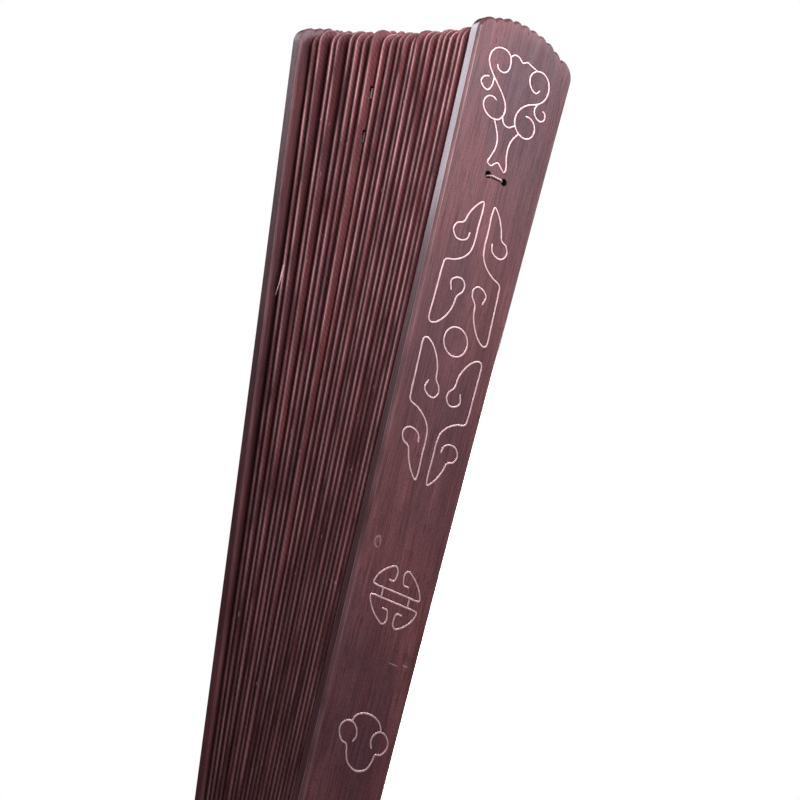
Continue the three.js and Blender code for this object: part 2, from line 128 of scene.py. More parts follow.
def make_piece(
    name: str,
    points: Array,
    patches: Sequence[Patch],
    materials: Sequence[bpy.types.Material],
    attributes: dict[str, Array] | None = None,
    sharp: float = 32.0,
) -> bpy.types.Object:
    """Make one object from vertex and face arrays, leaving out vertices that no face uses.

    Args:
        name: The piece's name.
        points: Places in metres, n by 3.
        patches: The faces, in groups.
        materials: Finishes, in the order that the patches number them.
        attributes: Values to store on the vertices, each n long.
        sharp: Edges that fold more than this many degrees are shaded sharp.

    Returns:
        The new object, at the origin.
    """
    quads = np.concatenate([p.quads.reshape(-1, 4) for p in patches])
    used, flat = np.unique(quads, return_inverse=True)
    faces = flat.reshape(-1, 4)
    mesh = bpy.data.meshes.new(name)
    mesh.from_pydata(points[used].tolist(), [], faces.tolist())
    corners = np.concatenate([p.uv[p.quads.reshape(-1)] for p in patches])
    layer = mesh.uv_layers.new(name="surface")
    layer.data.foreach_set("uv", corners.astype(np.float32).ravel())
    finishes = np.concatenate([np.full(p.quads.size // 4, p.finish) for p in patches])
    mesh.polygons.foreach_set("material_index", finishes.astype(np.int32))
    for key, values in (attributes or {}).items():
        stored = mesh.attributes.new(key, "FLOAT", "POINT")
        stored.data.foreach_set("value", values[used].astype(np.float32))
    for material in materials:
        mesh.materials.append(material)
    mesh.shade_smooth()
    mesh.set_sharp_from_angle(angle=math.radians(sharp))
    mesh.validate()
    mesh.update()
    piece = bpy.data.objects.new(name, mesh)
    bpy.context.scene.collection.objects.link(piece)
    return piece


# ---------------------------------------------------------------- finishes


class NodeTree:
    """A short way to write a material's nodes."""

    def __init__(self, name: str) -> None:
        """Start an empty material with its output and its main shader.

        Args:
            name: The material's name.
        """
        self.material = bpy.data.materials.new(name)
        self.material.use_nodes = True
        self.tree = self.material.node_tree
        self.tree.nodes.clear()
        self.shader = self.node("ShaderNodeBsdfPrincipled")
        output = self.node("ShaderNodeOutputMaterial")
        self.link(self.shader.outputs["BSDF"], output.inputs["Surface"])

    def node(self, kind: str, **settings: object) -> bpy.types.Node:
        """Add a node of a kind, with its settings."""
        made = self.tree.nodes.new(kind)
        for key, value in settings.items():
            setattr(made, key, value)
        return made

    def link(self, out: bpy.types.NodeSocket, into: bpy.types.NodeSocket) -> None:
        """Join an output to an input."""
        self.tree.links.new(out, into)

    def constant(self, **values: object) -> None:
        """Set the main shader's own sockets, named with underscores for spaces."""
        for key, value in values.items():
            self.shader.inputs[key.replace("_", " ")].default_value = value

    def surface(
        self, scale: tuple[float, float, float], offset: Sequence[float] = (0, 0, 0)
    ) -> bpy.types.NodeSocket:
        """Return the piece's surface coordinates, scaled.

        Args:
            scale: Pattern lengths to the metre across, along and out.
            offset: Shift of the pattern, in pattern lengths.

        Returns:
            The scaled coordinates.
        """
        source = self.node("ShaderNodeUVMap", uv_map="surface")
        mapping = self.node("ShaderNodeMapping")
        mapping.inputs["Scale"].default_value = scale
        mapping.inputs["Location"].default_value = tuple(offset)
        self.link(source.outputs["UV"], mapping.inputs["Vector"])
        return mapping.outputs["Vector"]

    def noise(
        self, vector: bpy.types.NodeSocket, detail: float = 2.0, rough: float = 0.5
    ) -> bpy.types.NodeSocket:
        """Return soft noise of unit scale at a vector."""
        made = self.node("ShaderNodeTexNoise")
        made.inputs["Scale"].default_value = 1.0
        made.inputs["Detail"].default_value = detail
        made.inputs["Roughness"].default_value = rough
        self.link(vector, made.inputs["Vector"])
        return made.outputs["Fac"]

    def length(self, vector: bpy.types.NodeSocket) -> bpy.types.NodeSocket:
        """Return a vector's length."""
        made = self.node("ShaderNodeVectorMath", operation="LENGTH")
        self.link(vector, made.inputs[0])
        return made.outputs["Value"]

    def slanted(self, pitch: float) -> bpy.types.NodeSocket:
        """Return waves that cross the surface at a slant, a pitch apart.

        Args:
            pitch: Distance between crests along the blade.

        Returns:
            The waves, from 0 to 1.
        """
        along = WAVE_PERIOD / pitch
        wave = self.node("ShaderNodeTexWave", wave_type="BANDS", bands_direction="DIAGONAL")
        wave.inputs["Scale"].default_value = 1.0 / math.tau
        wave.inputs["Distortion"].default_value = 2.0
        wave.inputs["Detail"].default_value = 1.0
        self.link(self.surface((0.7 * along, along, 1.0)), wave.inputs["Vector"])
        return wave.outputs["Fac"]

    def ramp(
        self, value: bpy.types.NodeSocket, stops: Sequence[tuple[float, Colour | float]]
    ) -> bpy.types.NodeSocket:
        """Return a value turned into colours (or greys) by a ramp.

        Args:
            value: The value, from 0 to 1.
            stops: Positions with a colour or a grey.

        Returns:
            The colour.
        """
        made = self.node("ShaderNodeValToRGB")
        elements = made.color_ramp.elements
        while len(elements) < len(stops):
            elements.new(0.5)
        for element, (position, shade) in zip(elements, stops):
            rgb = shade if isinstance(shade, tuple) else (shade, shade, shade)
            element.position = position
            element.color = (*rgb, 1.0)
        self.link(value, made.inputs["Fac"])
        return made.outputs["Color"]

    def mix(
        self,
        a: bpy.types.NodeSocket | Colour,
        b: bpy.types.NodeSocket | Colour,
        factor: bpy.types.NodeSocket | float,
        blend: str = "MIX",
    ) -> bpy.types.NodeSocket:
        """Return two colours mixed.

        Args:
            a: First colour.
            b: Second colour.
            factor: How much of the second.
            blend: The way they mix.

        Returns:
            The mixed colour.
        """
        made = self.node("ShaderNodeMix", data_type="RGBA", blend_type=blend)
        for socket, value in ((made.inputs[0], factor), (made.inputs[6], a), (made.inputs[7], b)):
            if isinstance(value, bpy.types.NodeSocket):
                self.link(value, socket)
            elif isinstance(value, tuple):
                socket.default_value = (*value, 1.0)
            else:
                socket.default_value = value
        return made.outputs[2]

    def sums(self, operation: str, *values: bpy.types.NodeSocket | float) -> bpy.types.NodeSocket:
        """Return the result of a Math node on values."""
        made = self.node("ShaderNodeMath", operation=operation)
        for socket, value in zip(made.inputs, values):
            if isinstance(value, bpy.types.NodeSocket):
                self.link(value, socket)
            else:
                socket.default_value = value
        return made.outputs[0]

    def attribute(self, name: str) -> bpy.types.NodeSocket:
        """Return a value stored on the piece's vertices."""
        return self.node("ShaderNodeAttribute", attribute_name=name).outputs["Fac"]

    def bump(self, height: bpy.types.NodeSocket, distance: float, strength: float = 1.0) -> None:
        """Raise the surface by a height, in metres at a height of 1."""
        made = self.node("ShaderNodeBump")
        made.inputs["Strength"].default_value = strength
        made.inputs["Distance"].default_value = distance
        self.link(height, made.inputs["Height"])
        self.link(made.outputs["Normal"], self.shader.inputs["Normal"])


@dataclass(frozen=True)
class Mark:
    """A small blemish on a face.

    Attributes:
        x: Place across.
        z: Height.
        width: Half its width.
        height: Half its height.
        colour: Its colour.
        ring: Whether only its border shows, as round a knot.
    """

    x: float
    z: float
    width: float
    height: float
    colour: Colour
    ring: bool = False


@dataclass(frozen=True)
class WoodFinish:
    """Oiled dark sandalwood: long streaks, short open pores, a satin surface and pale edges, partly from
    rubbing and partly a painted highlight.

    Attributes:
        name: The material's name.
        dark: Colour of the darkest streaks.
        body: Main colour.
        light: Colour of the palest streaks.
        cast: Colour of the broad patches that lie over the streaks.
        rubbed_and_lit: Colour of the pale edges: partly rubbing, partly a painted highlight where arrises and
            rounded edges catch the light.
        pore: Colour inside the pores.
        roughness: Lowest and highest roughness.
        pore_share: How much of the surface the pores take, from 0 to 1.
        coat: Strength of the thin film of oil.
        gloss: Specular level under the film.
        film: Roughness of the film.
        fuzz: Strength of the raised fibre specks.
        saw: Strength of the slanting saw marks.
        saw_pitch: Distance between them.
        marks: Blemishes.
    """

    name: str
    dark: Colour
    body: Colour
    light: Colour
    cast: Colour
    rubbed_and_lit: Colour
    pore: Colour
    roughness: tuple[float, float]
    pore_share: float = 0.1
    coat: float = 0.15
    gloss: float = 0.35
    film: float = 0.3
    fuzz: float = 0.0
    saw: float = 0.0
    saw_pitch: float = 1.3 * MM
    marks: tuple[Mark, ...] = ()

    def material(self) -> bpy.types.Material:
        """Build the material: streaks and pores are noise drawn out along the blade."""
        nt = NodeTree(self.name)
        broad = nt.noise(nt.surface((150, 11, 1)), 3)
        patch = nt.noise(nt.surface((60, 28, 1), (7, 1, 0)), 2)
        streak = nt.noise(nt.surface((1000, 24, 1), (3, 7, 0)), 4, 0.62)
        hair = nt.noise(nt.surface((4200, 90, 1), (11, 2, 0)), 2)
        wander = nt.sums("ADD", nt.sums("MULTIPLY", broad, 0.6), nt.sums("MULTIPLY", streak, 0.4))
        own = nt.sums("SUBTRACT", nt.attribute("tone"), 0.5)
        tone = nt.sums("ADD", wander, nt.sums("MULTIPLY", own, 0.30))
        colour = nt.ramp(tone, [(0.36, self.dark), (0.50, self.body), (0.66, self.light)])
        colour = nt.mix(colour, self.cast, nt.ramp(patch, [(0.40, 0.0), (0.64, 0.75)]))
        fine = nt.ramp(hair, [(0.34, 0.55), (0.66, 1.35)])
        colour = nt.mix(colour, fine, 0.85, "MULTIPLY")
        grit = nt.noise(nt.surface((3600, 2400, 1), (6, 3, 0)), 1)
        colour = nt.mix(colour, nt.ramp(grit, [(0.3, 0.66), (0.7, 1.28)]), 0.8, "MULTIPLY")
        cells = nt.noise(nt.surface((4200, 300, 1), (5, 9, 0)), 1)
        edge = 0.5 + 0.5 * (0.5 - self.pore_share)
        pores = nt.ramp(cells, [(edge - 0.05, 0.0), (edge + 0.02, 1.0)])
        clusters = nt.ramp(broad, [(0.38, 0.15), (0.62, 0.80)])
        colour = nt.mix(colour, self.pore, nt.sums("MULTIPLY", pores, clusters))
        # Pale edges: partly rubbing, partly a painted highlight along arrises and the top edge, broken into
        # patches by noise.
        pale_edge_strength = nt.noise(nt.surface((90, 45, 1), (2, 8, 0)), 3, 0.6)
        worn_and_lit = nt.sums("MULTIPLY", nt.attribute("edge"), nt.ramp(pale_edge_strength, [(0.36, 0.10), (0.64, 1.0)]))
        colour = nt.mix(colour, self.rubbed_and_lit, nt.sums("MULTIPLY", worn_and_lit, 0.9))
        if self.fuzz:
            specks = nt.ramp(nt.noise(nt.surface((2600, 420, 1), (1, 4, 0)), 2), [(0.72, 0.0), (0.78, 1.0)])
            colour = nt.mix(colour, (0.75, 0.60, 0.56), nt.sums("MULTIPLY", specks, self.fuzz))
        sawn = nt.slanted(self.saw_pitch)
        if self.saw:
            lines = nt.ramp(sawn, [(0.25, 1 - self.saw), (0.75, 1 + 0.4 * self.saw)])
            colour = nt.mix(colour, lines, 1.0, "MULTIPLY")
        for mark in self.marks:
            colour = nt.mix(colour, mark.colour, self.shape_of(nt, mark, streak))
        nt.link(colour, nt.shader.inputs["Base Color"])
        low, high = self.roughness
        satin = nt.noise(nt.surface((420, 40, 1), (2, 5, 0)), 3)
        nt.link(nt.ramp(satin, [(0.3, low), (0.7, high)]), nt.shader.inputs["Roughness"])
        nt.constant(Coat_Weight=self.coat, Coat_Roughness=self.film, Specular_IOR_Level=self.gloss)
        height = nt.sums("SUBTRACT", nt.sums("MULTIPLY", nt.sums("ADD", streak, hair), 0.35), pores)
        height = nt.sums("ADD", height, nt.sums("MULTIPLY", sawn, 1.5 * self.saw))
        nt.bump(height, 0.02 * MM, 0.8)
        return nt.material

    @staticmethod
    def shape_of(nt: NodeTree, mark: Mark, rough: bpy.types.NodeSocket) -> bpy.types.NodeSocket:
        """Return how much of a mark shows: 1 at its middle (or on its ring) falling to 0 outside.

        Args:
            nt: The material's nodes.
            mark: The mark.
            rough: Noise that breaks its border.

        Returns:
            The share, from 0 to 1.
        """
        scale = (1 / mark.width, 1 / mark.height, 1.0)
        centred = nt.surface(scale, (-mark.x / mark.width, -mark.z / mark.height, 0.0))
        reach = nt.sums("ADD", nt.length(centred), nt.sums("MULTIPLY", nt.sums("SUBTRACT", rough, 0.5), 0.5))
        if mark.ring:
            return nt.ramp(reach, [(0.50, 0.12), (0.72, 0.75), (0.95, 0.0)])
        return nt.ramp(reach, [(0.40, 0.85), (0.98, 0.0)])


@dataclass(frozen=True)
class SilverFinish:
    """Fine silver wire abraded down flush, a little warm with handling.

    Attributes:
        name: The material's name.
        bright: Clean metal.
        warm: Metal with a thin film on it.
    """

    name: str
    bright: Colour = (0.80, 0.53, 0.53)
    warm: Colour = (0.62, 0.38, 0.39)

    def material(self) -> bpy.types.Material:
        """Build the material: patches of film, with fine scratches along the wire."""
        nt = NodeTree(self.name)
        film = nt.noise(nt.surface((600, 600, 1)), 3)
        colour = nt.ramp(film, [(0.35, self.bright), (0.68, self.warm)])
        nt.link(colour, nt.shader.inputs["Base Color"])
        scratch = nt.noise(nt.surface((9000, 900, 1)), 2)
        nt.link(nt.ramp(scratch, [(0.3, 0.30), (0.7, 0.48)]), nt.shader.inputs["Roughness"])
        nt.constant(Metallic=0.55)
        nt.bump(scratch, 0.006 * MM, 0.6)
        return nt.material


@dataclass(frozen=True)
class BrassFinish:
    """Hand-peened brass that has darkened.

    Attributes:
        name: The material's name.
        bright: Rubbed metal.
        dull: Tarnish.
    """

    name: str
    bright: Colour = (0.72, 0.50, 0.22)
    dull: Colour = (0.30, 0.18, 0.08)

    def material(self) -> bpy.types.Material:
        """Build the material: cloudy tarnish over hammered metal."""
        nt = NodeTree(self.name)
        cloud = nt.noise(nt.surface((420, 420, 1)), 5, 0.6)
        nt.link(nt.ramp(cloud, [(0.38, self.bright), (0.66, self.dull)]), nt.shader.inputs["Base Color"])
        nt.link(nt.ramp(cloud, [(0.35, 0.24), (0.70, 0.55)]), nt.shader.inputs["Roughness"])
        nt.constant(Metallic=1.0)
        dents = nt.noise(nt.surface((900, 900, 1), (4, 4, 0)), 1)
        nt.bump(dents, 0.05 * MM, 0.5)
        return nt.material


@dataclass(frozen=True)
class SilkFinish:
    """Pale pink silk, spun as thread or woven as ribbon.

    Attributes:
        name: The material's name.
        light: Colour of the raised yarns.
        shade: Colour between the yarns.
        yarns: Yarns to the metre, across and along.
    """

    name: str
    light: Colour = (0.86, 0.62, 0.62)
    shade: Colour = (0.60, 0.38, 0.38)
    yarns: tuple[float, float] = (6000.0, 9000.0)

    def material(self) -> bpy.types.Material:
        """Build the material: two sets of waves crossing give the weave, and sheen gives the silk."""
        nt = NodeTree(self.name)
        weave = []
        for scale in ((self.yarns[0], 0.0, 1.0), (0.0, self.yarns[1], 1.0)):
            wave = nt.node("ShaderNodeTexWave", wave_type="BANDS", bands_direction="DIAGONAL")
            wave.inputs["Scale"].default_value = 1.0 / math.tau
            nt.link(nt.surface(scale), wave.inputs["Vector"])
            weave.append(wave.outputs["Fac"])
        yarns = nt.sums("MULTIPLY", nt.sums("ADD", weave[0], weave[1]), 0.5)
        slub = nt.noise(nt.surface((900, 900, 1)), 2)
        colour = nt.mix(self.shade, self.light, nt.ramp(yarns, [(0.15, 0.25), (0.7, 1.0)]))
        colour = nt.mix(colour, nt.ramp(slub, [(0.3, 0.85), (0.7, 1.1)]), 0.6, "MULTIPLY")
        nt.link(colour, nt.shader.inputs["Base Color"])
        nt.link(nt.ramp(slub, [(0.3, 0.50), (0.7, 0.68)]), nt.shader.inputs["Roughness"])
        nt.constant(Sheen_Weight=0.4, Sheen_Roughness=0.4)
        nt.bump(yarns, 0.03 * MM, 0.7)
        return nt.material


class Finishes:
    """Every finish of the fan, each made once."""

    def __init__(self) -> None:
        """Make the materials."""
        pale = (0.42, 0.24, 0.24)
        black = (0.012, 0.005, 0.005)
        # Each wood's rubbed colour paints its pale edges: partly rubbing, partly a painted highlight where
        # arrises and rounded edges catch the light.
        guard = WoodFinish(
            "guard_sandalwood",
            dark=(0.062, 0.0145, 0.0155),
            body=(0.112, 0.0300, 0.0320),
            light=(0.172, 0.0550, 0.0580),
            cast=(0.078, 0.0270, 0.0360),
            rubbed_and_lit=(0.27, 0.125, 0.13),
            pore=(0.020, 0.006, 0.007),
            roughness=(0.36, 0.50),
            pore_share=0.16,
            coat=0.10,
            marks=(
                Mark(-6.9 * MM, 91.8 * MM, 0.9 * MM, 1.5 * MM, pale, True),
                Mark(-6.6 * MM, 91.2 * MM, 0.35 * MM, 0.5 * MM, black),
                Mark(4.2 * MM, 69.3 * MM, 1.5 * MM, 0.14 * MM, pale),
                Mark(7.2 * MM, 69.9 * MM, 0.9 * MM, 0.22 * MM, pale),
                Mark(10.7 * MM, 201.6 * MM, 0.22 * MM, 0.9 * MM, black),
                Mark(11.9 * MM, 179.8 * MM, 0.20 * MM, 0.8 * MM, black),
                Mark(-0.8 * MM, 207.4 * MM, 0.16 * MM, 0.9 * MM, black),
            ),
        )
        leaf = WoodFinish(
            "leaf_sandalwood",
            dark=(0.085, 0.017, 0.019),
            body=(0.165, 0.040, 0.043),
            light=(0.270, 0.078, 0.080),
            cast=(0.095, 0.028, 0.036),
            rubbed_and_lit=(0.52, 0.25, 0.26),
            pore=(0.030, 0.008, 0.009),
            roughness=(0.50, 0.66),
            pore_share=0.12,
            coat=0.0,
            gloss=0.25,
            fuzz=0.35,
            saw=0.18,
        )
        sawn = WoodFinish(
            "sawn_edge_sandalwood",
            dark=(0.042, 0.010, 0.011),
            body=(0.075, 0.019, 0.021),
            light=(0.120, 0.036, 0.037),
            cast=(0.055, 0.018, 0.022),
            rubbed_and_lit=(0.72, 0.38, 0.39),
            pore=(0.025, 0.008, 0.008),
            roughness=(0.58, 0.75),
            pore_share=0.12,
            coat=0.0,
            gloss=0.10,
            fuzz=0.8,
            saw=0.08,
        )
        guard_side = WoodFinish(
            "guard_side_sandalwood",
            dark=(0.050, 0.015, 0.017),
            body=(0.085, 0.028, 0.030),
            light=(0.130, 0.050, 0.052),
            cast=(0.070, 0.028, 0.034),
            rubbed_and_lit=(0.62, 0.36, 0.37),
            pore=(0.020, 0.007, 0.008),
            roughness=(0.34, 0.46),
            pore_share=0.08,
            coat=0.9,
            gloss=0.25,
            film=0.16,
        )
        # Hole walls nearly black: painted shade inside the holes, partly darker bored wood.
        self.bore = WoodFinish(
            "bored_wood_and_painted_shade",
            dark=(0.012, 0.005, 0.005),
            body=(0.020, 0.008, 0.008),
            light=(0.034, 0.013, 0.013),
            cast=(0.016, 0.008, 0.008),
            rubbed_and_lit=(0.05, 0.02, 0.02),
            pore=(0.008, 0.003, 0.003),
            roughness=(0.6, 0.8),
            coat=0.0,
        ).material()
        self.sliver = WoodFinish(
            "torn_sliver",
            dark=(0.55, 0.33, 0.32),
            body=(0.72, 0.48, 0.47),
            light=(0.85, 0.62, 0.60),
            cast=(0.62, 0.40, 0.39),
            rubbed_and_lit=(0.66, 0.45, 0.42),
            pore=(0.2, 0.09, 0.08),
            roughness=(0.5, 0.7),
            coat=0.0,
        ).material()
        self.guard = guard.material()
        self.guard_side = guard_side.material()
        self.leaf = leaf.material()
        self.sawn = sawn.material()
        self.silver = SilverFinish("silver_wire").material()
        # Near-black strips along each side of the wire: painted shade standing in for the groove round a sunk
        # wire.
        self.groove_shade = WoodFinish(
            "inlay_groove_painted_shade",
            dark=(0.012, 0.005, 0.005),
            body=(0.022, 0.009, 0.009),
            light=(0.040, 0.016, 0.016),
            cast=(0.020, 0.010, 0.012),
            rubbed_and_lit=(0.05, 0.02, 0.02),
            pore=(0.01, 0.004, 0.004),
            roughness=(0.5, 0.7),
            coat=0.0,
        ).material()
        self.brass = BrassFinish("aged_brass").material()
        self.thread = SilkFinish("silk_thread", yarns=(14000.0, 1500.0)).material()
        self.ribbon = SilkFinish("silk_ribbon", light=(0.74, 0.50, 0.48), shade=(0.46, 0.26, 0.25)).material()


# ---------------------------------------------------------------- blades


@dataclass(frozen=True)
class BladeOutline:
    """The outline that guards and leaves share, seen from the front, with the rivet at the origin.

    Attributes:
        rivet_to_top: Height of the arched top's middle.
        drop: How much lower than the front guard's the top stands.
        top_width: Width across the top corners.
        waist_width: Width at which the side edges' end tangents meet, halfway up.
        end_width: Width at the rivet, and the rounded lower end's diameter.
        top_rise: How far the arch stands above its corners.
        top_power: How flat the arch's middle is.
        top_skew: How much higher the left corner stands than the middle of the two.
        corner_radius: Radius of the top corners.
        scallops: Number of scallops along the arch.
        scallop_depth: Depth of the notches between them.
    """

    rivet_to_top: float = 209.2 * MM
    drop: float = 0.0
    top_width: float = 27.0 * MM
    waist_width: float = 20.9 * MM
    end_width: float = 18.7 * MM
    top_rise: float = 2.4 * MM
    top_power: float = 2.5
    top_skew: float = 0.5 * MM
    corner_radius: float = 4.0 * MM
    scallops: int = 8
    scallop_depth: float = 0.65 * MM

    @property
    def shoulder(self) -> float:
        """Height at which the tallest blade's top corners start."""
        return self.rivet_to_top - self.top_rise - self.corner_radius

    @property
    def top(self) -> float:
        """Height of this blade's top."""
        return self.rivet_to_top - self.drop

    @property
    def arch_half(self) -> float:
        """Half the width of the arched top between its corners."""
        return self.top_width / 2 - self.corner_radius

    def half_width(self, height: Array) -> Array:
        """Half the blade's width at a height.

        Formula: a parabola through the end width and the top width, t = height / shoulder held to 0..1,
        (1 - t)^2 end + 2 t (1 - t) waist + t^2 top, halved.

        Args:
            height: Heights above the rivet.

        Returns:
            Half widths.
        """
        t = np.clip(height / self.shoulder, 0.0, 1.0)
        low = (1 - t) ** 2 * self.end_width
        middle = 2 * t * (1 - t) * self.waist_width
        return (low + middle + t**2 * self.top_width) / 2

    def top_edge(self, x: Array, inset: float) -> Array:
        """Height of the top edge at places across it.

        Formula: between the corners an arch, top - rise |a|^power - skew a with a the share of the
        way out, less the scallops' depth times (1 - |sin|), and in the corners a quarter circle. The
        inset lowers the arch and shrinks the quarter circles.

        Args:
            x: Places across.
            inset: Distance in from the true edge.

        Returns:
            Heights.
        """
        a = x / self.arch_half
        bump = np.abs(np.sin(np.pi * self.scallops * (a + 1) / 2))
        fall = self.top_rise * np.abs(a) ** self.top_power + self.top_skew * a
        arch = self.top - fall - self.scallop_depth * (1 - bump) - inset
        radius = self.corner_radius - inset
        out = np.clip((np.abs(x) - self.arch_half) / radius, 0.0, 1.0)
        corner = self.shoulder - self.drop - self.top_skew * np.sign(x) + radius * np.sqrt(1 - out**2)
        return np.where(np.abs(x) <= self.arch_half, arch, corner)


@dataclass(frozen=True)
class Rim:
    """The edge of a blade in section, from its front face to its back face.

    Attributes:
        steps: Pairs of (distance out from the faces' border, depth behind the front face).
        wear_and_highlight: How much of the pale edge colour each step takes, from 0 to 1: partly rubbing,
            partly a painted highlight on the arrises.
    """

    steps: tuple[tuple[float, float], ...]
    wear_and_highlight: tuple[float, ...]

    @property
    def inset(self) -> float:
        """How far the faces' border lies inside the outline."""
        return max(out for out, _ in self.steps)

    @classmethod
    def rounded(cls, thickness: float, radius: float) -> "Rim":
        """Two quarter rounds, a leaf's sanded edge.

        Args:
            thickness: The blade's thickness.
            radius: The rounds' radius.

        Returns:
            The rim.
        """
        turns = [math.radians(a) for a in (0, 20, 40, 60, 90)]
        front = [(radius * math.sin(a), radius * (1 - math.cos(a))) for a in turns]
        back = [(out, thickness - depth) for out, depth in reversed(front)]
        # The front arris takes the most pale edge colour: partly rubbing, partly a painted highlight where
        # the round catches the light.
        wear_and_highlight = (0.9, 1.0, 1.0, 0.55, 0.05, 0.0, 0.1, 0.25, 0.25, 0.2)
        return cls(tuple(front + back), wear_and_highlight)

    @classmethod
    def chamfered(cls, thickness: float, chamfer: float, front: bool) -> "Rim":
        """A guard's edge: a softened chamfer on its outer face and a slight round on its inner face.

        Args:
            thickness: The blade's thickness.
            chamfer: The chamfer's width and depth.
            front: Whether the chamfer is on the front.

        Returns:
            The rim.
        """
        soft = 0.08 * chamfer
        inner = 0.1 * MM
        steps = [
            (0.0, 0.0),
            (soft, soft * 0.35),
            (chamfer - soft * 0.35, chamfer - soft),
            (chamfer, chamfer + soft * 0.9),
            (chamfer, chamfer + soft * 5.0),
            (chamfer, thickness - inner * 3.0),
            (chamfer, thickness - inner),
            (chamfer - inner * 0.3, thickness - inner * 0.3),
            (chamfer - inner, thickness),
            (0.0, thickness),
        ]
        # The chamfer's lower arris takes the most pale edge colour: a painted highlight line, partly rubbing.
        wear_and_highlight = (0.7, 0.35, 0.15, 1.0, 0.0, 0.0, 0.5, 0.6, 0.4, 0.2)
        if not front:
            steps = [(out, thickness - depth) for out, depth in reversed(steps)]
            wear_and_highlight = wear_and_highlight[::-1]
        return cls(tuple(steps), wear_and_highlight)


@dataclass(frozen=True)
class RoundHole:
    """A round hole through a blade.

    Attributes:
        x: Place across.
        z: Height.
        radius: Its radius.
        reach: How many rows and columns from its middle to its wall.
    """

    x: float
    z: float
    radius: float
    reach: tuple[int, int]


@dataclass(frozen=True)
class Slit:
    """An upright slit through a blade near a side edge.

    Attributes:
        side: -1 at the left or 1 at the right.
        z: Its middle's height.
        height: Its height.
        width: Its width.
        margin: Side edge to its middle.
    """

    side: int
    z: float
    height: float = 3.2 * MM
    width: float = 0.8 * MM
    margin: float = 3.5 * MM


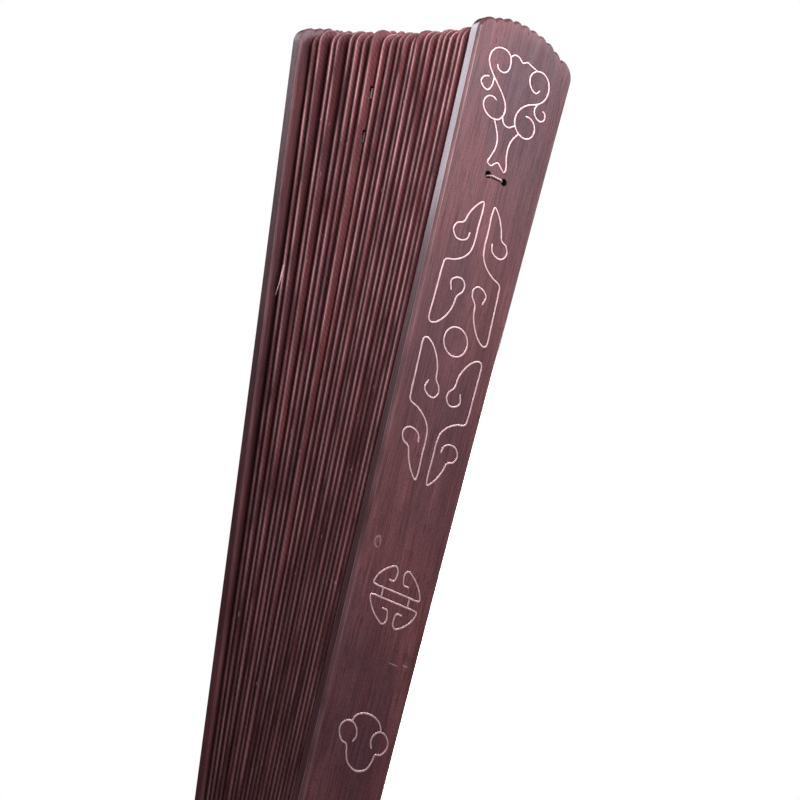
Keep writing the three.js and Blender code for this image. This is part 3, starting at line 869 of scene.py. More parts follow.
@dataclass(frozen=True)
class Blade:
    """One wooden blade, flat in the plane across the rivet.

    Attributes:
        name: The piece's name.
        outline: Its outline.
        back: Depth of its back face (Y).
        thickness: Its thickness.
        angle: Degrees from the front guard, at rest.
        rim: Its edge in section.
        holes: Round holes.
        slits: Upright slits.
        crown: How far the front face's middle stands proud of its borders (negative for the back face).
        slope: How far the blade leans back, as depth to height.
        bow: How far the top end bends forwards.
        number: Picks the stretch of grain and the tone.
        rows_at_rivet: Spacing of the grid's rows round the rivet.
        scallop_steps: Columns to a scallop.
        corner_steps: Columns to a top corner.
        row_spacing: Spacing of the rows between the ends.
        top_wear_and_highlight: How far down from the top edge the pale band reaches: partly rubbing, partly a
            painted highlight on the rounded top edge.
        side_wear_and_highlight: How far in from the side edges it reaches.
        low_wear_and_highlight: Share of the pale edge colour that is left at the rivet; it grows to full at
            the top.
    """

    name: str
    outline: BladeOutline
    back: float
    thickness: float
    angle: float
    rim: Rim
    holes: tuple[RoundHole, ...] = ()
    slits: tuple[Slit, ...] = ()
    crown: float = 0.0
    slope: float = 0.0
    bow: float = 0.0
    number: int = 0
    rows_at_rivet: float = 0.9 * MM
    scallop_steps: int = 5
    corner_steps: int = 6
    row_spacing: float = 9.0 * MM
    top_wear_and_highlight: float = 0.3 * MM
    side_wear_and_highlight: float = 0.15 * MM
    low_wear_and_highlight: float = 0.35

    def columns(self) -> Array:
        """Return the grid's columns as shares of the half width, from -1 to 1.

        Formula: even steps under the arch, x = r sin(angle) steps in the corners, and a pair beside
        each slit.

        Returns:
            Shares, rising.
        """
        inset = self.rim.inset
        reach = self.outline.top_width / 2 - inset
        arch = np.linspace(-1, 1, self.outline.scallops * self.scallop_steps + 1) * self.outline.arch_half
        turn = np.sin(np.linspace(0, np.pi / 2, self.corner_steps + 1)[1:])
        corner = self.outline.arch_half + (self.outline.corner_radius - inset) * turn
        shares = [np.concatenate((-corner, arch, corner)) / reach]
        for slit in self.slits:
            half = float(self.outline.half_width(np.array(slit.z)))
            middle = half - slit.margin
            beside = np.array((middle - slit.width / 2, middle + slit.width / 2))
            shares.append(slit.side * beside / (half - inset))
        rounded = np.round(np.concatenate(shares), 5)
        return np.unique(rounded)

    def rows(self) -> tuple[Array, float, float]:
        """Return the grid's row heights on the middle line, and where the end zones stop.

        Returns:
            Heights, rising; the top of the zone round the rivet; the foot of the zone under the arch.
        """
        inset = self.rim.inset
        start = -self.outline.end_width / 2 + inset
        low = self.outline.end_width / 2
        high = self.outline.shoulder - self.outline.drop - 4.0 * MM
        count = int(round((low - start) / self.rows_at_rivet))
        parts = [
            np.linspace(start, low, 2 * (count // 2) + 1),
            np.linspace(low, high, int((high - low) / self.row_spacing) + 2)[1:],
            np.linspace(high, self.outline.top - inset, 5)[1:],
        ]
        for slit in self.slits:
            parts.append(np.array((slit.z - slit.height / 2, slit.z + slit.height / 2)))
        for hole in self.holes:
            if hole.z > low:
                parts.append(hole.z + np.arange(-4, 5) * hole.radius / hole.reach[0])
        return np.unique(np.round(np.concatenate(parts), 7)), low, high

    def face(self) -> tuple[Array, Array]:
        """Return the face's grid of places.

        Formula: x = share times (half width - inset). Up to the zone round the rivet, heights run
        from the half circle of the lower end, in the middle they are level, and under the arch they
        run up to the top edge. Round holes draw their ring of grid points onto a circle and the
        points around it part of the way.

        Returns:
            x and z, each rows by columns.
        """
        inset = self.rim.inset
        share = self.columns()[None, :]
        level, low, high = self.rows()
        level = level[:, None]
        radius = self.outline.end_width / 2 - inset
        foot = -radius * np.sqrt(np.clip(1 - share**2, 0, 1))
        top = self.outline.top_edge(share * (self.outline.top_width / 2 - inset), inset)
        near = foot + (level - level[0]) / (low - level[0]) * (low - foot)
        far = high + (level - high) / (level[-1] - high) * (top - high)
        z = np.where(level < low, near, np.where(level > high, far, level + 0 * share))
        x = share * (self.outline.half_width(z) - inset)
        for hole in self.holes:
            x, z = self.drawn_to(hole, x, z)
        return x, z

    def middle_of(self, hole: RoundHole, x: Array, z: Array) -> tuple[int, int]:
        """Return the row and column of the grid point nearest a hole's middle."""
        near = np.argmin((x - hole.x) ** 2 + (z - hole.z) ** 2)
        row, column = np.unravel_index(near, x.shape)
        return int(row), int(column)

    def drawn_to(self, hole: RoundHole, x: Array, z: Array) -> tuple[Array, Array]:
        """Draw the grid round a hole onto its circle.

        Formula: with q the larger of the row and column distances over the hole's reach, points at
        q = 1 go to the circle, and up to q = 2 they are mixed with their own places.

        Args:
            hole: The hole.
            x: Places across.
            z: Heights.

        Returns:
            The new x and z.
        """
        row, column = self.middle_of(hole, x, z)
        di = (np.arange(x.shape[0])[:, None] - row) / hole.reach[0] + 0 * x
        dj = (np.arange(x.shape[1])[None, :] - column) / hole.reach[1] + 0 * x
        q = np.maximum(np.abs(di), np.abs(dj))
        angle = np.arctan2(di, dj)
        pull = np.clip(2 - q, 0, 1)
        ring = hole.radius * q
        round_x = hole.x + ring * np.cos(angle)
        round_z = hole.z + ring * np.sin(angle)
        return x + (round_x - x) * pull, z + (round_z - z) * pull

    def openings(self, x: Array, z: Array) -> list[tuple[int, int, int, int]]:
        """Return the grid cells each hole and slit takes: first and last row, then column."""
        blocks = []
        for hole in self.holes:
            row, column = self.middle_of(hole, x, z)
            high, wide = hole.reach
            blocks.append((row - high, row + high, column - wide, column + wide))
        share = self.columns()
        level = self.rows()[0]
        for slit in self.slits:
            half = float(self.outline.half_width(np.array(slit.z)))
            middle = half - slit.margin
            ends = slit.side * (middle + np.array((-1, 1)) * slit.width / 2) / (half - self.rim.inset)
            j0, j1 = sorted(int(np.argmin(np.abs(share - end))) for end in ends)
            i0, i1 = (int(np.argmin(np.abs(level - slit.z - s * slit.height / 2))) for s in (-1, 1))
            blocks.append((i0, i1, j0, j1))
        return blocks

    @staticmethod
    def border(numbers: Array, i0: int, i1: int, j0: int, j1: int) -> Array:
        """Return the vertex numbers round a block of the grid, anticlockwise from the front."""
        return np.concatenate(
            (
                numbers[i0, j0:j1],
                numbers[i0:i1, j1],
                numbers[i1, j1:j0:-1],
                numbers[i1:i0:-1, j0],
            )
        )

    def front_depth(self, x: Array, z: Array) -> Array:
        """Depth of the front face at places on the unturned blade.

        Formula: the front plane, less crown (1 - share^2), less bow (z / top)^2, plus slope z.

        Args:
            x: Places across.
            z: Heights.

        Returns:
            Depths (Y).
        """
        share = np.clip(x / self.outline.half_width(z), -1, 1)
        crown = max(self.crown, 0.0) * (1 - share**2)
        return self.back - self.thickness - crown - self.lean(z)

    def lean(self, z: Array) -> Array:
        """How far the blade stands forwards at heights: bow (z / top) squared, less slope times z."""
        return self.bow * np.clip(z / self.outline.top, 0, 1) ** 2 - self.slope * z

    def build(
        self, face: bpy.types.Material, side: bpy.types.Material, bore: bpy.types.Material
    ) -> bpy.types.Object:
        """Build the blade: a front and a back grid, a rim carried round the border, and walls in the holes.

        Formula for the rim: each ring is the border moved out along its own normal by the section's
        distance and back by its depth.

        Args:
            face: Finish of the faces.
            side: Finish of the rim.
            bore: Finish of the holes' walls, nearly black: painted shade, partly darker bored wood.

        Returns:
            The blade's object.
        """
        x, z = self.face()
        count = x.size
        share = np.clip(x / self.outline.half_width(z), -1, 1)
        front_y = self.front_depth(x, z)
        back_y = self.back - min(self.crown, 0.0) * (1 - share**2) - self.lean(z)
        numbers = np.arange(count).reshape(x.shape)
        rows, columns = x.shape
        loop = self.border(numbers, 0, rows - 1, 0, columns - 1)
        lx, lz = x.ravel()[loop], z.ravel()[loop]
        tangent = np.stack((np.roll(lx, -1) - np.roll(lx, 1), np.roll(lz, -1) - np.roll(lz, 1)))
        tangent /= np.linalg.norm(tangent, axis=0)
        nx, nz = tangent[1], -tangent[0]
        steps = np.array(self.rim.steps[1:-1])
        out, depth = steps[:, :1], steps[:, 1:]
        ring_x, ring_z = lx + out * nx, lz + out * nz
        ring_y = self.back - self.thickness + depth - self.lean(ring_z)
        flat = [np.stack((a.ravel(), b.ravel(), c.ravel()), 1) for a, b, c in
                ((x, front_y, z), (x, back_y, z), (ring_x, ring_y, ring_z))]
        points = np.concatenate(flat)
        rings = 2 * count + np.arange(ring_x.size).reshape(ring_x.shape)
        around = np.concatenate((loop[None], rings, loop[None] + count))
        around = np.concatenate((around, around[:, :1]), axis=1)

        keep = np.ones((rows - 1, columns - 1), bool)
        walls = []
        for i0, i1, j0, j1 in self.openings(x, z):
            keep[i0:i1, j0:j1] = False
            edge = self.border(numbers, i0, i1, j0, j1)
            wall = np.stack((edge, edge + count))
            walls.append(grid_quads(np.concatenate((wall, wall[:, :1]), axis=1)).reshape(-1, 4))
        cells = grid_quads(numbers)[keep]
        # Rim rows run front to back, so their faces are turned over to look outwards.
        rim = grid_quads(around)[..., ::-1].reshape(-1, 4)

        place = points[:, [0, 2]].copy()
        place += np.array((0.061, 0.37)) * self.number
        length = np.concatenate(([0], np.cumsum(np.hypot(*np.diff(np.array(self.rim.steps), axis=0).T))))
        along_rim = place.copy()
        spread = length[1:-1, None] * nx, length[1:-1, None] * nz
        along_rim[2 * count:, 0] += spread[0].ravel()
        along_rim[2 * count:, 1] += spread[1].ravel() * 0.1
        patches = [
            Patch(cells, place),
            Patch(cells[:, ::-1] + count, place + 0.013),
            Patch(rim, along_rim, 1),
        ]
        patches += [Patch(wall, place, 2) for wall in walls]

        # Pale edge colour on the faces near the outline and on the rim: partly rubbing, partly a painted
        # highlight, fading towards the rivet.
        beside = np.clip(self.outline.half_width(points[:, 2]) - np.abs(points[:, 0]), 0, None)
        below = np.clip(self.outline.top_edge(points[:, 0], 0.0) - points[:, 2], 0, None)
        beside = np.clip(beside - self.rim.inset, 0, None)
        edge = np.maximum(0.85 * np.exp(-beside / self.side_wear_and_highlight), 0.8 * np.exp(-below / self.top_wear_and_highlight))
        edge[2 * count:] = np.repeat(self.rim.wear_and_highlight[1:-1], len(loop))
        pale_edge_strength = np.clip(points[:, 2] / self.outline.top, 0, 1)
        edge *= self.low_wear_and_highlight + (1 - self.low_wear_and_highlight) * pale_edge_strength**1.5
        tone = np.full(len(points), 0.5 + 0.5 * math.sin(2.3 * self.number + 0.7))
        return make_piece(
            self.name,
            turned_about_rivet(points, self.angle),
            patches,
            (face, side, bore),
            {"edge": edge, "tone": tone},
        )


# ---------------------------------------------------------------- stack


@dataclass(frozen=True)
class Stack:
    """How the blades lie on one another and how far the fan stands open.

    Attributes:
        outline: Outline of every blade.
        leaf: A leaf's thickness.
        guard: A guard's thickness.
        gap: Space between neighbouring blades.
        leaf_angles: Degrees from the front guard back to each leaf, first leaf first.
        rear_angle: Degrees from the front guard back to the rear guard.
        lean_step: Change of lean from each leaf to the next, as depth to height.
        rear_lean: The rear guard's lean.
        slit_rows: Drop from the top to each row of slits.
        stitch_drop: Drop from the top to the thread stitches.
        stitch_span: Space between a stitch's two holes.
        stitch_hole: Radius of those holes.
        chamfer: Width of the guards' chamfers.
        shank: Radius of the leaves' bores.
        head_bore: Radius of the guards' counterbores.
        leaf_bow: How far a leaf's top may bend forwards or back.
        rear_bow: How far the rear guard's top bends forwards.
        rear_pull: How far the first leaf's top bends back towards the rear guard.
        leaf_round: Radius of a leaf's sanded edge.
        low_scallop: Depth of the notches in the tops behind the front guard.
        top_stagger: How much lower than the tallest the lowest leaf stands.
        guard_crown: How far the front guard's middle stands proud of its borders.
        slit_margin: Side edge to the middle of a slit.
        odd_leaf: The one leaf whose slits were cut nearer its edges.
        odd_margin: Side edge to the middle of that leaf's slits.
    """

    outline: BladeOutline = field(default_factory=BladeOutline)
    leaf: float = 0.8 * MM
    guard: float = 2.8 * MM
    gap: float = 0.34 * MM
    leaf_angles: tuple[float, ...] = (
        4.2, 4.05, 3.6, 3.5, 3.0, 2.85, 2.6, 2.45, 1.85, 1.7, 1.4, 1.38, 1.15, 1.12, 1.0, 0.85, 0.6, 0.58,
        0.42, 0.34, 0.24,
    )
    rear_angle: float = 4.9
    lean_step: float = 0.0026
    rear_lean: float = 0.07
    slit_rows: tuple[float, float] = (17.0 * MM, 27.0 * MM)
    stitch_drop: float = 34.8 * MM
    stitch_span: float = 4.4 * MM
    stitch_hole: float = 0.82 * MM
    chamfer: float = 0.6 * MM
    shank: float = 1.75 * MM
    head_bore: float = 3.5 * MM
    leaf_bow: float = 0.3 * MM
    rear_bow: float = 1.5 * MM
    rear_pull: float = 1.3 * MM
    leaf_round: float = 0.27 * MM
    low_scallop: float = 0.95 * MM
    top_stagger: float = 0.8 * MM
    guard_crown: float = 0.2 * MM
    slit_margin: float = 3.5 * MM
    odd_leaf: int = 8
    odd_margin: float = 2.0 * MM

    @property
    def front_guard_back(self) -> float:
        """Depth of the front guard's inner face."""
        return -(self.guard + self.gap + LEAVES * (self.leaf + self.gap))

    def leaf_back(self, k: int) -> float:
        """Depth of leaf k's back face."""
        return -(self.guard + self.gap + (k - 1) * (self.leaf + self.gap))

    def leaf_bend(self, k: int) -> float:
        """How far leaf k's top bends forwards: a sine of k, less a pull that fades from the rear guard."""
        return self.leaf_bow * math.sin(2.6 * k) - self.rear_pull * math.exp((1 - k) / 2.5)

    def leaf_lean(self, k: int) -> float:
        """Lean of leaf k, as depth to height."""
        return (LEAVES + 1 - k) * self.lean_step

    def margin_of(self, k: int) -> float:
        """Side edge to the middle of leaf k's slits."""
        return self.odd_margin if k == self.odd_leaf else self.slit_margin

    def leaf_angle(self, k: int) -> float:
        """Degrees about the rivet at which leaf k rests, negative to the left."""
        return -self.leaf_angles[k - 1]

    @property
    def low_outline(self) -> BladeOutline:
        """The outline of every blade behind the front guard."""
        return replace(self.outline, drop=FRONT_GUARD_EXTRA, scallop_depth=self.low_scallop)

    def stitch_holes(self) -> tuple[RoundHole, ...]:
        """Return the two thread holes of a guard."""
        z = self.outline.rivet_to_top - self.stitch_drop
        return tuple(RoundHole(s * self.stitch_span / 2, z, self.stitch_hole, (2, 2)) for s in (-1, 1))

    def guard_blade(self, name: str, front: bool) -> Blade:
        """Return a guard's blade.

        Args:
            name: The piece's name.
            front: Whether it is the front guard.

        Returns:
            The blade.
        """
        return Blade(
            name,
            self.outline if front else self.low_outline,
            back=self.front_guard_back if front else 0.0,
            thickness=self.guard,
            angle=0.0 if front else -self.rear_angle,
            slope=0.0 if front else self.rear_lean,
            bow=0.0 if front else self.rear_bow,
            rim=Rim.chamfered(self.guard, self.chamfer, front),
            holes=(RoundHole(0, 0, self.head_bore, (8, 10)), *self.stitch_holes()),
            crown=self.guard_crown if front else 0.0,
            number=0 if front else 31,
            rows_at_rivet=0.42 * MM,
            scallop_steps=6,
            corner_steps=9,
            row_spacing=4.0 * MM,
            # A wide pale band down from the top edge: a painted highlight on the softened top, partly
            # rubbing.
            top_wear_and_highlight=1.4 * MM,
            low_wear_and_highlight=0.8,
        )

    def leaf_blade(self, k: int) -> Blade:
        """Return leaf k's blade."""
        margin = self.margin_of(k)
        slits = [
            Slit(side, self.low_outline.top - drop, margin=margin)
            for drop in self.slit_rows
            for side in (-1, 1)
        ]
        stagger = self.top_stagger * (1 + math.sin(2.1 * k)) / 2
        return Blade(
            f"leaf_{k:02d}_wood",
            replace(self.low_outline, drop=FRONT_GUARD_EXTRA + stagger),
            back=self.leaf_back(k),
            thickness=self.leaf,
            angle=self.leaf_angle(k),
            rim=Rim.rounded(self.leaf, self.leaf_round),
            holes=(RoundHole(0, 0, self.shank, (2, 5)),),
            slits=tuple(slits),
            slope=self.leaf_lean(k),
            bow=self.leaf_bend(k),
            number=k,
        )


def body_of_leaf(k: int) -> str:
    """Name the body that leaf k belongs to."""
    return "first_leaf" if k == 1 else f"leaf_{k:02d}"


@dataclass
class Leaves:
    """The thin leaves between the guards, each with its lengths of ribbon.

    Attributes:
        stack: Where they lie.
        finishes: What they wear.
        ribbon_width: The ribbon's width.
        ribbon_thickness: Its thickness.
        splinter_ends: Root and tip of the sliver on the first leaf's edge, across and up.
        splinter_size: Its radius at the root.
        odd_tuck: How far the odd leaf's ribbon lies from the middle of its slits.
    """

    stack: Stack
    finishes: Finishes
    ribbon_width: float = 2.4 * MM
    ribbon_thickness: float = 0.12 * MM
    splinter_ends: tuple[tuple[float, float], ...] = ((-11.85 * MM, 150.9 * MM), (-13.04 * MM, 143.8 * MM))
    splinter_size: float = 0.26 * MM
    odd_tuck: float = 0.26 * MM

    def build(self) -> list[bpy.types.Object]:
        """Build every leaf and ribbon and hang them on their bodies."""
        made = []
        for k in range(1, LEAVES + 1):
            leaf = self.stack.leaf_blade(k).build(self.finishes.leaf, self.finishes.sawn, self.finishes.bore)
            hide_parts(f"leaf_{k:02d}")
            ribbon = self.ribbon(k)
            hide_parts(f"ribbon_{k:02d}")
            for piece in (leaf, ribbon):
                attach(piece, body_of_leaf(k))
                made.append(piece)
        splinter = self.splinter()
        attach(splinter, "first_leaf")
        return [*made, splinter]

    def splinter(self) -> bpy.types.Object:
        """Build the pale sliver that has lifted from the first leaf's left edge.

        Formula: a six-sided section whose size falls from the root to the tip as 1 - 0.85 t, carried
        along a line that leaves the edge and bends down and outwards with t squared.

        Returns:
            The splinter's object.
        """
        front = self.stack.leaf_back(1) - self.stack.leaf
        t = np.linspace(0, 1, 18)[:, None]
        (x0, z0), (x1, z1) = self.splinter_ends
        size = self.splinter_size * (1 - 0.85 * t)
        turn = np.linspace(0, 2 * np.pi, 6, endpoint=False)[None, :]
        x = x0 + (x1 - x0) * (0.7 * t + 0.3 * t**2) + size * np.cos(turn)
        y = front + 0.15 * MM - 0.4 * MM * t + 0.7 * size * np.sin(turn)
        z = z0 + (z1 - z0) * t + 0 * turn
        cloud = np.stack((x.ravel(), y.ravel(), z.ravel()), 1)
        cloud[:, 1] -= self.stack.leaf_blade(1).lean(cloud[:, 2])
        numbers = np.arange(len(cloud)).reshape(x.shape)
        closed = np.concatenate((numbers, numbers[:, :1]), axis=1)
        uv = cloud[:, [0, 2]]
        faces = [
            Patch(grid_quads(closed)[..., ::-1].reshape(-1, 4), uv),
            Patch(cap_quads(numbers[0]), uv),
            Patch(cap_quads(numbers[-1])[:, ::-1], uv),
        ]
        turned = turned_about_rivet(cloud, self.stack.leaf_angle(1))
        flat = np.zeros(len(cloud))
        return make_piece(
            "leaf_01_splinter",
            turned,
            faces,
            (self.finishes.sliver,),
            {"edge": flat, "tone": flat + 0.5},
            80.0,
        )

    def ribbon(self, k: int) -> bpy.types.Object:
        """Build a leaf's ribbon: two runs across its front that dive into the slits.

        Formula: a flat section carried along a line that is level between the slits and turns back
        into each slit over a quarter circle.

        Args:
            k: The leaf's number.

        Returns:
            The ribbon's object.
        """
        outline = self.stack.low_outline
        front = self.stack.leaf_back(k) - self.stack.leaf
        half_t = self.ribbon_thickness / 2
        plane = front - self.stack.gap / 2
        patches, points, first = [], [], 0
        for drop in self.stack.slit_rows:
            z = outline.top - drop
            tuck = self.odd_tuck if k == self.stack.odd_leaf else 0.0
            reach = float(outline.half_width(np.array(z))) - self.stack.margin_of(k) - tuck
            turn = 0.25 * MM
            bend = np.radians(np.linspace(0, 90, 7))
            side = np.stack((reach - turn + turn * np.sin(bend), plane + turn * (1 - np.cos(bend))), 1)
            tail = np.array(((reach, plane + turn + 0.25 * MM),))
            right = np.concatenate((side, tail))
            path = np.concatenate((right[::-1] * np.array((-1, 1)), right))
            step = np.gradient(path, axis=0)
            step /= np.linalg.norm(step, axis=1)[:, None]
            normal = np.stack((step[:, 1], -step[:, 0]), 1)
            across = np.array((-1, -0.94, 0.94, 1, 1, 0.94, -0.94, -1)) * self.ribbon_width / 2
            lift = np.array((0.4, 1, 1, 0.4, -0.4, -1, -1, -0.4)) * half_t
            ring = path[:, None, :] + normal[:, None, :] * lift[None, :, None]
            height = z + across[None, :] + 0 * ring[..., 0]
            block = np.stack((ring[..., 0], ring[..., 1], height), -1)
            numbers = first + np.arange(block.shape[0] * block.shape[1]).reshape(block.shape[:2])
            closed = np.concatenate((numbers, numbers[:, :1]), axis=1)
            points.append(block.reshape(-1, 3))
            patches.append((grid_quads(closed), numbers[0], numbers[-1]))
            first += block.shape[0] * block.shape[1]
        cloud = np.concatenate(points)
        cloud[:, 1] -= self.stack.leaf_blade(k).lean(cloud[:, 2])
        uv = cloud[:, [0, 2]]
        faces = []
        for skin, start, end in patches:
            faces.append(Patch(skin[..., ::-1].reshape(-1, 4), uv))
            faces += [Patch(cap_quads(start), uv), Patch(cap_quads(end)[:, ::-1], uv)]
        turned = turned_about_rivet(cloud, self.stack.leaf_angle(k))
        return make_piece(f"ribbon_{k:02d}_silk", turned, faces, (self.finishes.ribbon,))


# ---------------------------------------------------------------- wire inlay


@dataclass(frozen=True)
class Stroke:
    """One line of inlaid wire.

    Attributes:
        points: Given points across and up, in millimetres from the motif's middle.
        closed: Whether it closes on itself.
        corners: Whether the points are joined by straight lines.
    """

    points: Sequence[tuple[float, float]]
    closed: bool = False
    corners: bool = False

    def line(self, step: float = 0.12) -> Array:
        """Return the smooth line through the points.

        Formula: a centripetal Catmull-Rom curve. With knots spaced by the square root of the chord,
        each span is a cubic with end slopes taken from its neighbours.

        Args:
            step: Spacing of the returned points, in millimetres.

        Returns:
            Points in metres, n by 2.
        """
        p = np.array(self.points, float)
        if not self.corners:
            p = self.smooth(p)
        chain = np.concatenate((p, p[:1])) if self.closed else p
        length = np.concatenate(([0], np.cumsum(np.hypot(*np.diff(chain, axis=0).T))))
        count = max(3, int(round(length[-1] / step)))
        at = np.linspace(0, length[-1], count + 1)
        if self.closed:
            at = at[:-1]
        return np.stack([np.interp(at, length, chain[:, axis]) for axis in (0, 1)], 1) * MM

    def smooth(self, p: Array, pieces: int = 24) -> Array:
        """Return the curve through p as many short pieces.

        Args:
            p: Control points, n by 2.
            pieces: Pieces to a span.

        Returns:
            Points on the curve.
        """
        if self.closed:
            before, after = p[-1:], p[:2]
            q = np.concatenate((before, p, after))
        else:
            q = np.concatenate((2 * p[:1] - p[1:2], p, 2 * p[-1:] - p[-2:-1]))
        a, b, c, d = q[:-3], q[1:-2], q[2:-1], q[3:]
        ta, tb, tc = (np.sqrt(np.hypot(*(v - u).T))[:, None] for u, v in ((a, b), (b, c), (c, d)))
        start = ((b - a) / ta - (c - a) / (ta + tb) + (c - b) / tb) * tb
        end = ((c - b) / tb - (d - b) / (tb + tc) + (d - c) / tc) * tb
        s = np.linspace(0, 1, pieces, endpoint=False)[None, :, None]
        b, c, start, end = (v[:, None, :] for v in (b, c, start, end))
        curve = (
            (2 * s**3 - 3 * s**2 + 1) * b
            + (s**3 - 2 * s**2 + s) * start
            + (3 * s**2 - 2 * s**3) * c
            + (s**3 - s**2) * end
        ).reshape(-1, 2)
        return curve if self.closed else np.concatenate((curve, p[-1:]))


def flipped(points: Sequence[tuple[float, float]], sx: int, sz: int) -> list[tuple[float, float]]:
    """Mirror points left to right, top to bottom or both."""
    return [(x * sx, z * sz) for x, z in points]


def both_halves(half: Sequence[tuple[float, float]]) -> list[tuple[float, float]]:
    """Join a right half, which ends on the middle line, to its mirror image."""
    return [*half, *flipped(half[:-1], -1, 1)[::-1]]


class Motif(Enum):
    """The pieces of wire work on the front guard, by the CAD node each stands for."""

    CLOUD_SCROLL = "inlay_cloud_scroll"
    SCROLL_UPPER_LEFT = "inlay_scroll_upper_left"
    SCROLL_UPPER_RIGHT = "inlay_scroll_upper_right"
    SCROLL_LOWER_LEFT = "inlay_scroll_lower_left"
    SCROLL_LOWER_RIGHT = "inlay_scroll_lower_right"
    RING = "inlay_ring"
    MEDALLION = "inlay_medallion"
    CLOUD_HEAD = "inlay_cloud_head"


@dataclass
class WireInlay:
    """Silver wire let into the front guard's face.

    Attributes:
        guard: The blade that the wire lies in.
        finishes: What it wears.
        width: The wire's width.
        shade_strip: Width of the near-black strip along each side of the wire, painted groove shade.
        depth: How deep it goes.
        proud: How far its rounded top stands above the wood.
        places: Each motif's middle: how far to the right, and how far below the guard's top, in millimetres.
        ring_radius: Radius of the small ring.
    """

    guard: Blade
    finishes: Finishes
    width: float = 0.42 * MM
    shade_strip: float = 0.08 * MM
    depth: float = 0.35 * MM
    proud: float = 0.035 * MM
    ring_radius: float = 3.1
    places: dict[str, tuple[float, float]] = field(
        default_factory=lambda: {
            "cloud_scroll": (0.0, 19.2),
            "ring": (0.0, 71.6),
            "medallion": (0.7, 126.9),
            "cloud_head": (1.4, 158.2),
        }
    )

    def cloud_scroll(self) -> list[Stroke]:
        """Return the asymmetric cloud scroll near the top."""
        upper_left = [
            (-6.7, 7.8), (-6.1, 6.9), (-4.6, 6.7), (-3.6, 7.6), (-3.4, 9.4), (-4, 10.9), (-5.4, 11.6),
            (-7.4, 11.3), (-8.7, 10), (-9, 8.1), (-8.2, 6.4), (-6.9, 5), (-5, 3.4), (-3.4, 1.9),
            (-2.3, 0.4), (-1.9, -1), (-2.2, -2.4), (-3.2, -3.5), (-4.8, -3.8), (-6.5, -3.3),
            (-7.6, -2.1), (-7.7, -0.7), (-6.9, 0.4), (-5.7, 0.7), (-4.7, 0.3),
        ]
        left_hook = [(-8, 4.5), (-9.2, 3.9), (-9.7, 2.8), (-9, 1.8), (-7.6, 1.5), (-6.8, 2.6), (-6.6, 4.9)]
        wave = [(-3.8, 10.6), (-2.9, 11.5), (-1.6, 11.5), (-0.4, 10.8), (0.8, 11.4), (2.1, 11.1), (3.9, 10.7)]
        right = [
            (5.7, 7), (4.8, 6), (3.5, 6.4), (2.5, 7.9), (2.6, 9.5), (3.9, 10.7), (5.7, 10.9), (7.3, 9.8),
            (8, 7.7), (7.5, 5.6), (6, 4), (3.5, 2.7), (1.8, 1), (1.1, -1), (1.5, -2.9), (2.9, -4.2),
            (4.7, -4.5), (6.2, -3.7), (6.8, -2.2), (6.3, -0.7), (5, 0.2), (3.6, 0.2),
        ]
        right_hook = [(6, 4), (5.5, 2.5), (6.1, 1.2), (7.6, 0.7), (8.6, 1.5), (8.4, 2.7), (7.6, 3.1)]
        link = [(-2.2, -2.4), (-1.5, -3.7), (-0.1, -4), (1.5, -2.9)]
        stem = [
            (-4.1, -3.7), (-2.9, -5.7), (-2.1, -7.5), (-2, -9.5), (-2.7, -11.7), (-3.1, -13.2), (-2.1, -13.6),
            (-1.3, -12.8), (-0.5, -12.3), (0.4, -12.9), (1.6, -13.6), (1.9, -12.8), (1.3, -10.3), (1.2, -8),
            (1.7, -6.1), (2.9, -4.2),
        ]
        return [Stroke(s) for s in (upper_left, left_hook, wave, right, right_hook, link, stem)]

    def scroll_quarter(self, sx: int, sz: int) -> list[Stroke]:
        """Return a quarter of the long scroll, mirrored to its side and end."""
        quarter = [
            (3.1, 23.3), (3.5, 21.7), (4.8, 20.9), (6.4, 21), (7.4, 22.4), (6.8, 24), (5.3, 24.8), (4.5, 27),
            (3.2, 29.3), (1.6, 30.8), (1.3, 29.4), (1.4, 25), (1.4, 21.8), (1.8, 19.6), (3.1, 17.8),
            (5.2, 16.4), (7.5, 15.5), (7.8, 13.8), (7.9, 10), (8, 6.2), (7.9, 2.1), (7.2, 1.7), (5.8, 2.3),
            (4.1, 4.2), (2.9, 6.8), (2.5, 9.2), (1.4, 10.6), (1.2, 12), (2.1, 13.1), (3.6, 13), (4.8, 11.9),
            (4.3, 9.9),
        ]
        return [Stroke(flipped(quarter, sx, sz))]

    def ring(self) -> list[Stroke]:
        """Return the small ring between the scroll's quarters."""
        turn = np.linspace(0, 2 * np.pi, 48, endpoint=False)
        circle = self.ring_radius * np.stack((np.cos(turn), np.sin(turn)), 1)
        return [Stroke(circle.tolist(), closed=True)]

    def medallion(self) -> list[Stroke]:
        """Return the round fret: two split domes back to back and two short bars."""
        half = [
            (2.7, 3), (1.3, 3.1), (0.95, 4), (0.95, 5.4), (1.7, 6.1), (3.2, 5.4), (4.9, 3.9), (5.8, 2.5),
            (6.1, 1.3), (5.4, 1.05), (3.4, 1.05), (0, 1.05),
        ]
        dome = both_halves(half)
        bars = [Stroke([(x, -1.05), (x, 1.05)], corners=True) for x in (-3.5, 3.5)]
        return [Stroke(dome), Stroke(flipped(dome, 1, -1)), *bars]

    def cloud_head(self) -> list[Stroke]:
        """Return the cloud head: curled shoulders under an arc."""
        half = [
            (2.5, 0.5), (1.9, 1.8), (2.3, 3.3), (3.5, 4.3), (5, 4.2), (6.2, 2.9), (6.1, 1.3), (5.1, 0),
            (3.8, -0.4), (3.3, -2.1), (2.4, -3.8), (0, -4.8),
        ]
        arc = [(3.9, 4.3), (3.1, 5.8), (1.6, 6.7), (0, 6.9), (-1.6, 6.7), (-3.1, 5.8), (-3.9, 4.3)]
        return [Stroke(both_halves(half)), Stroke(arc)]

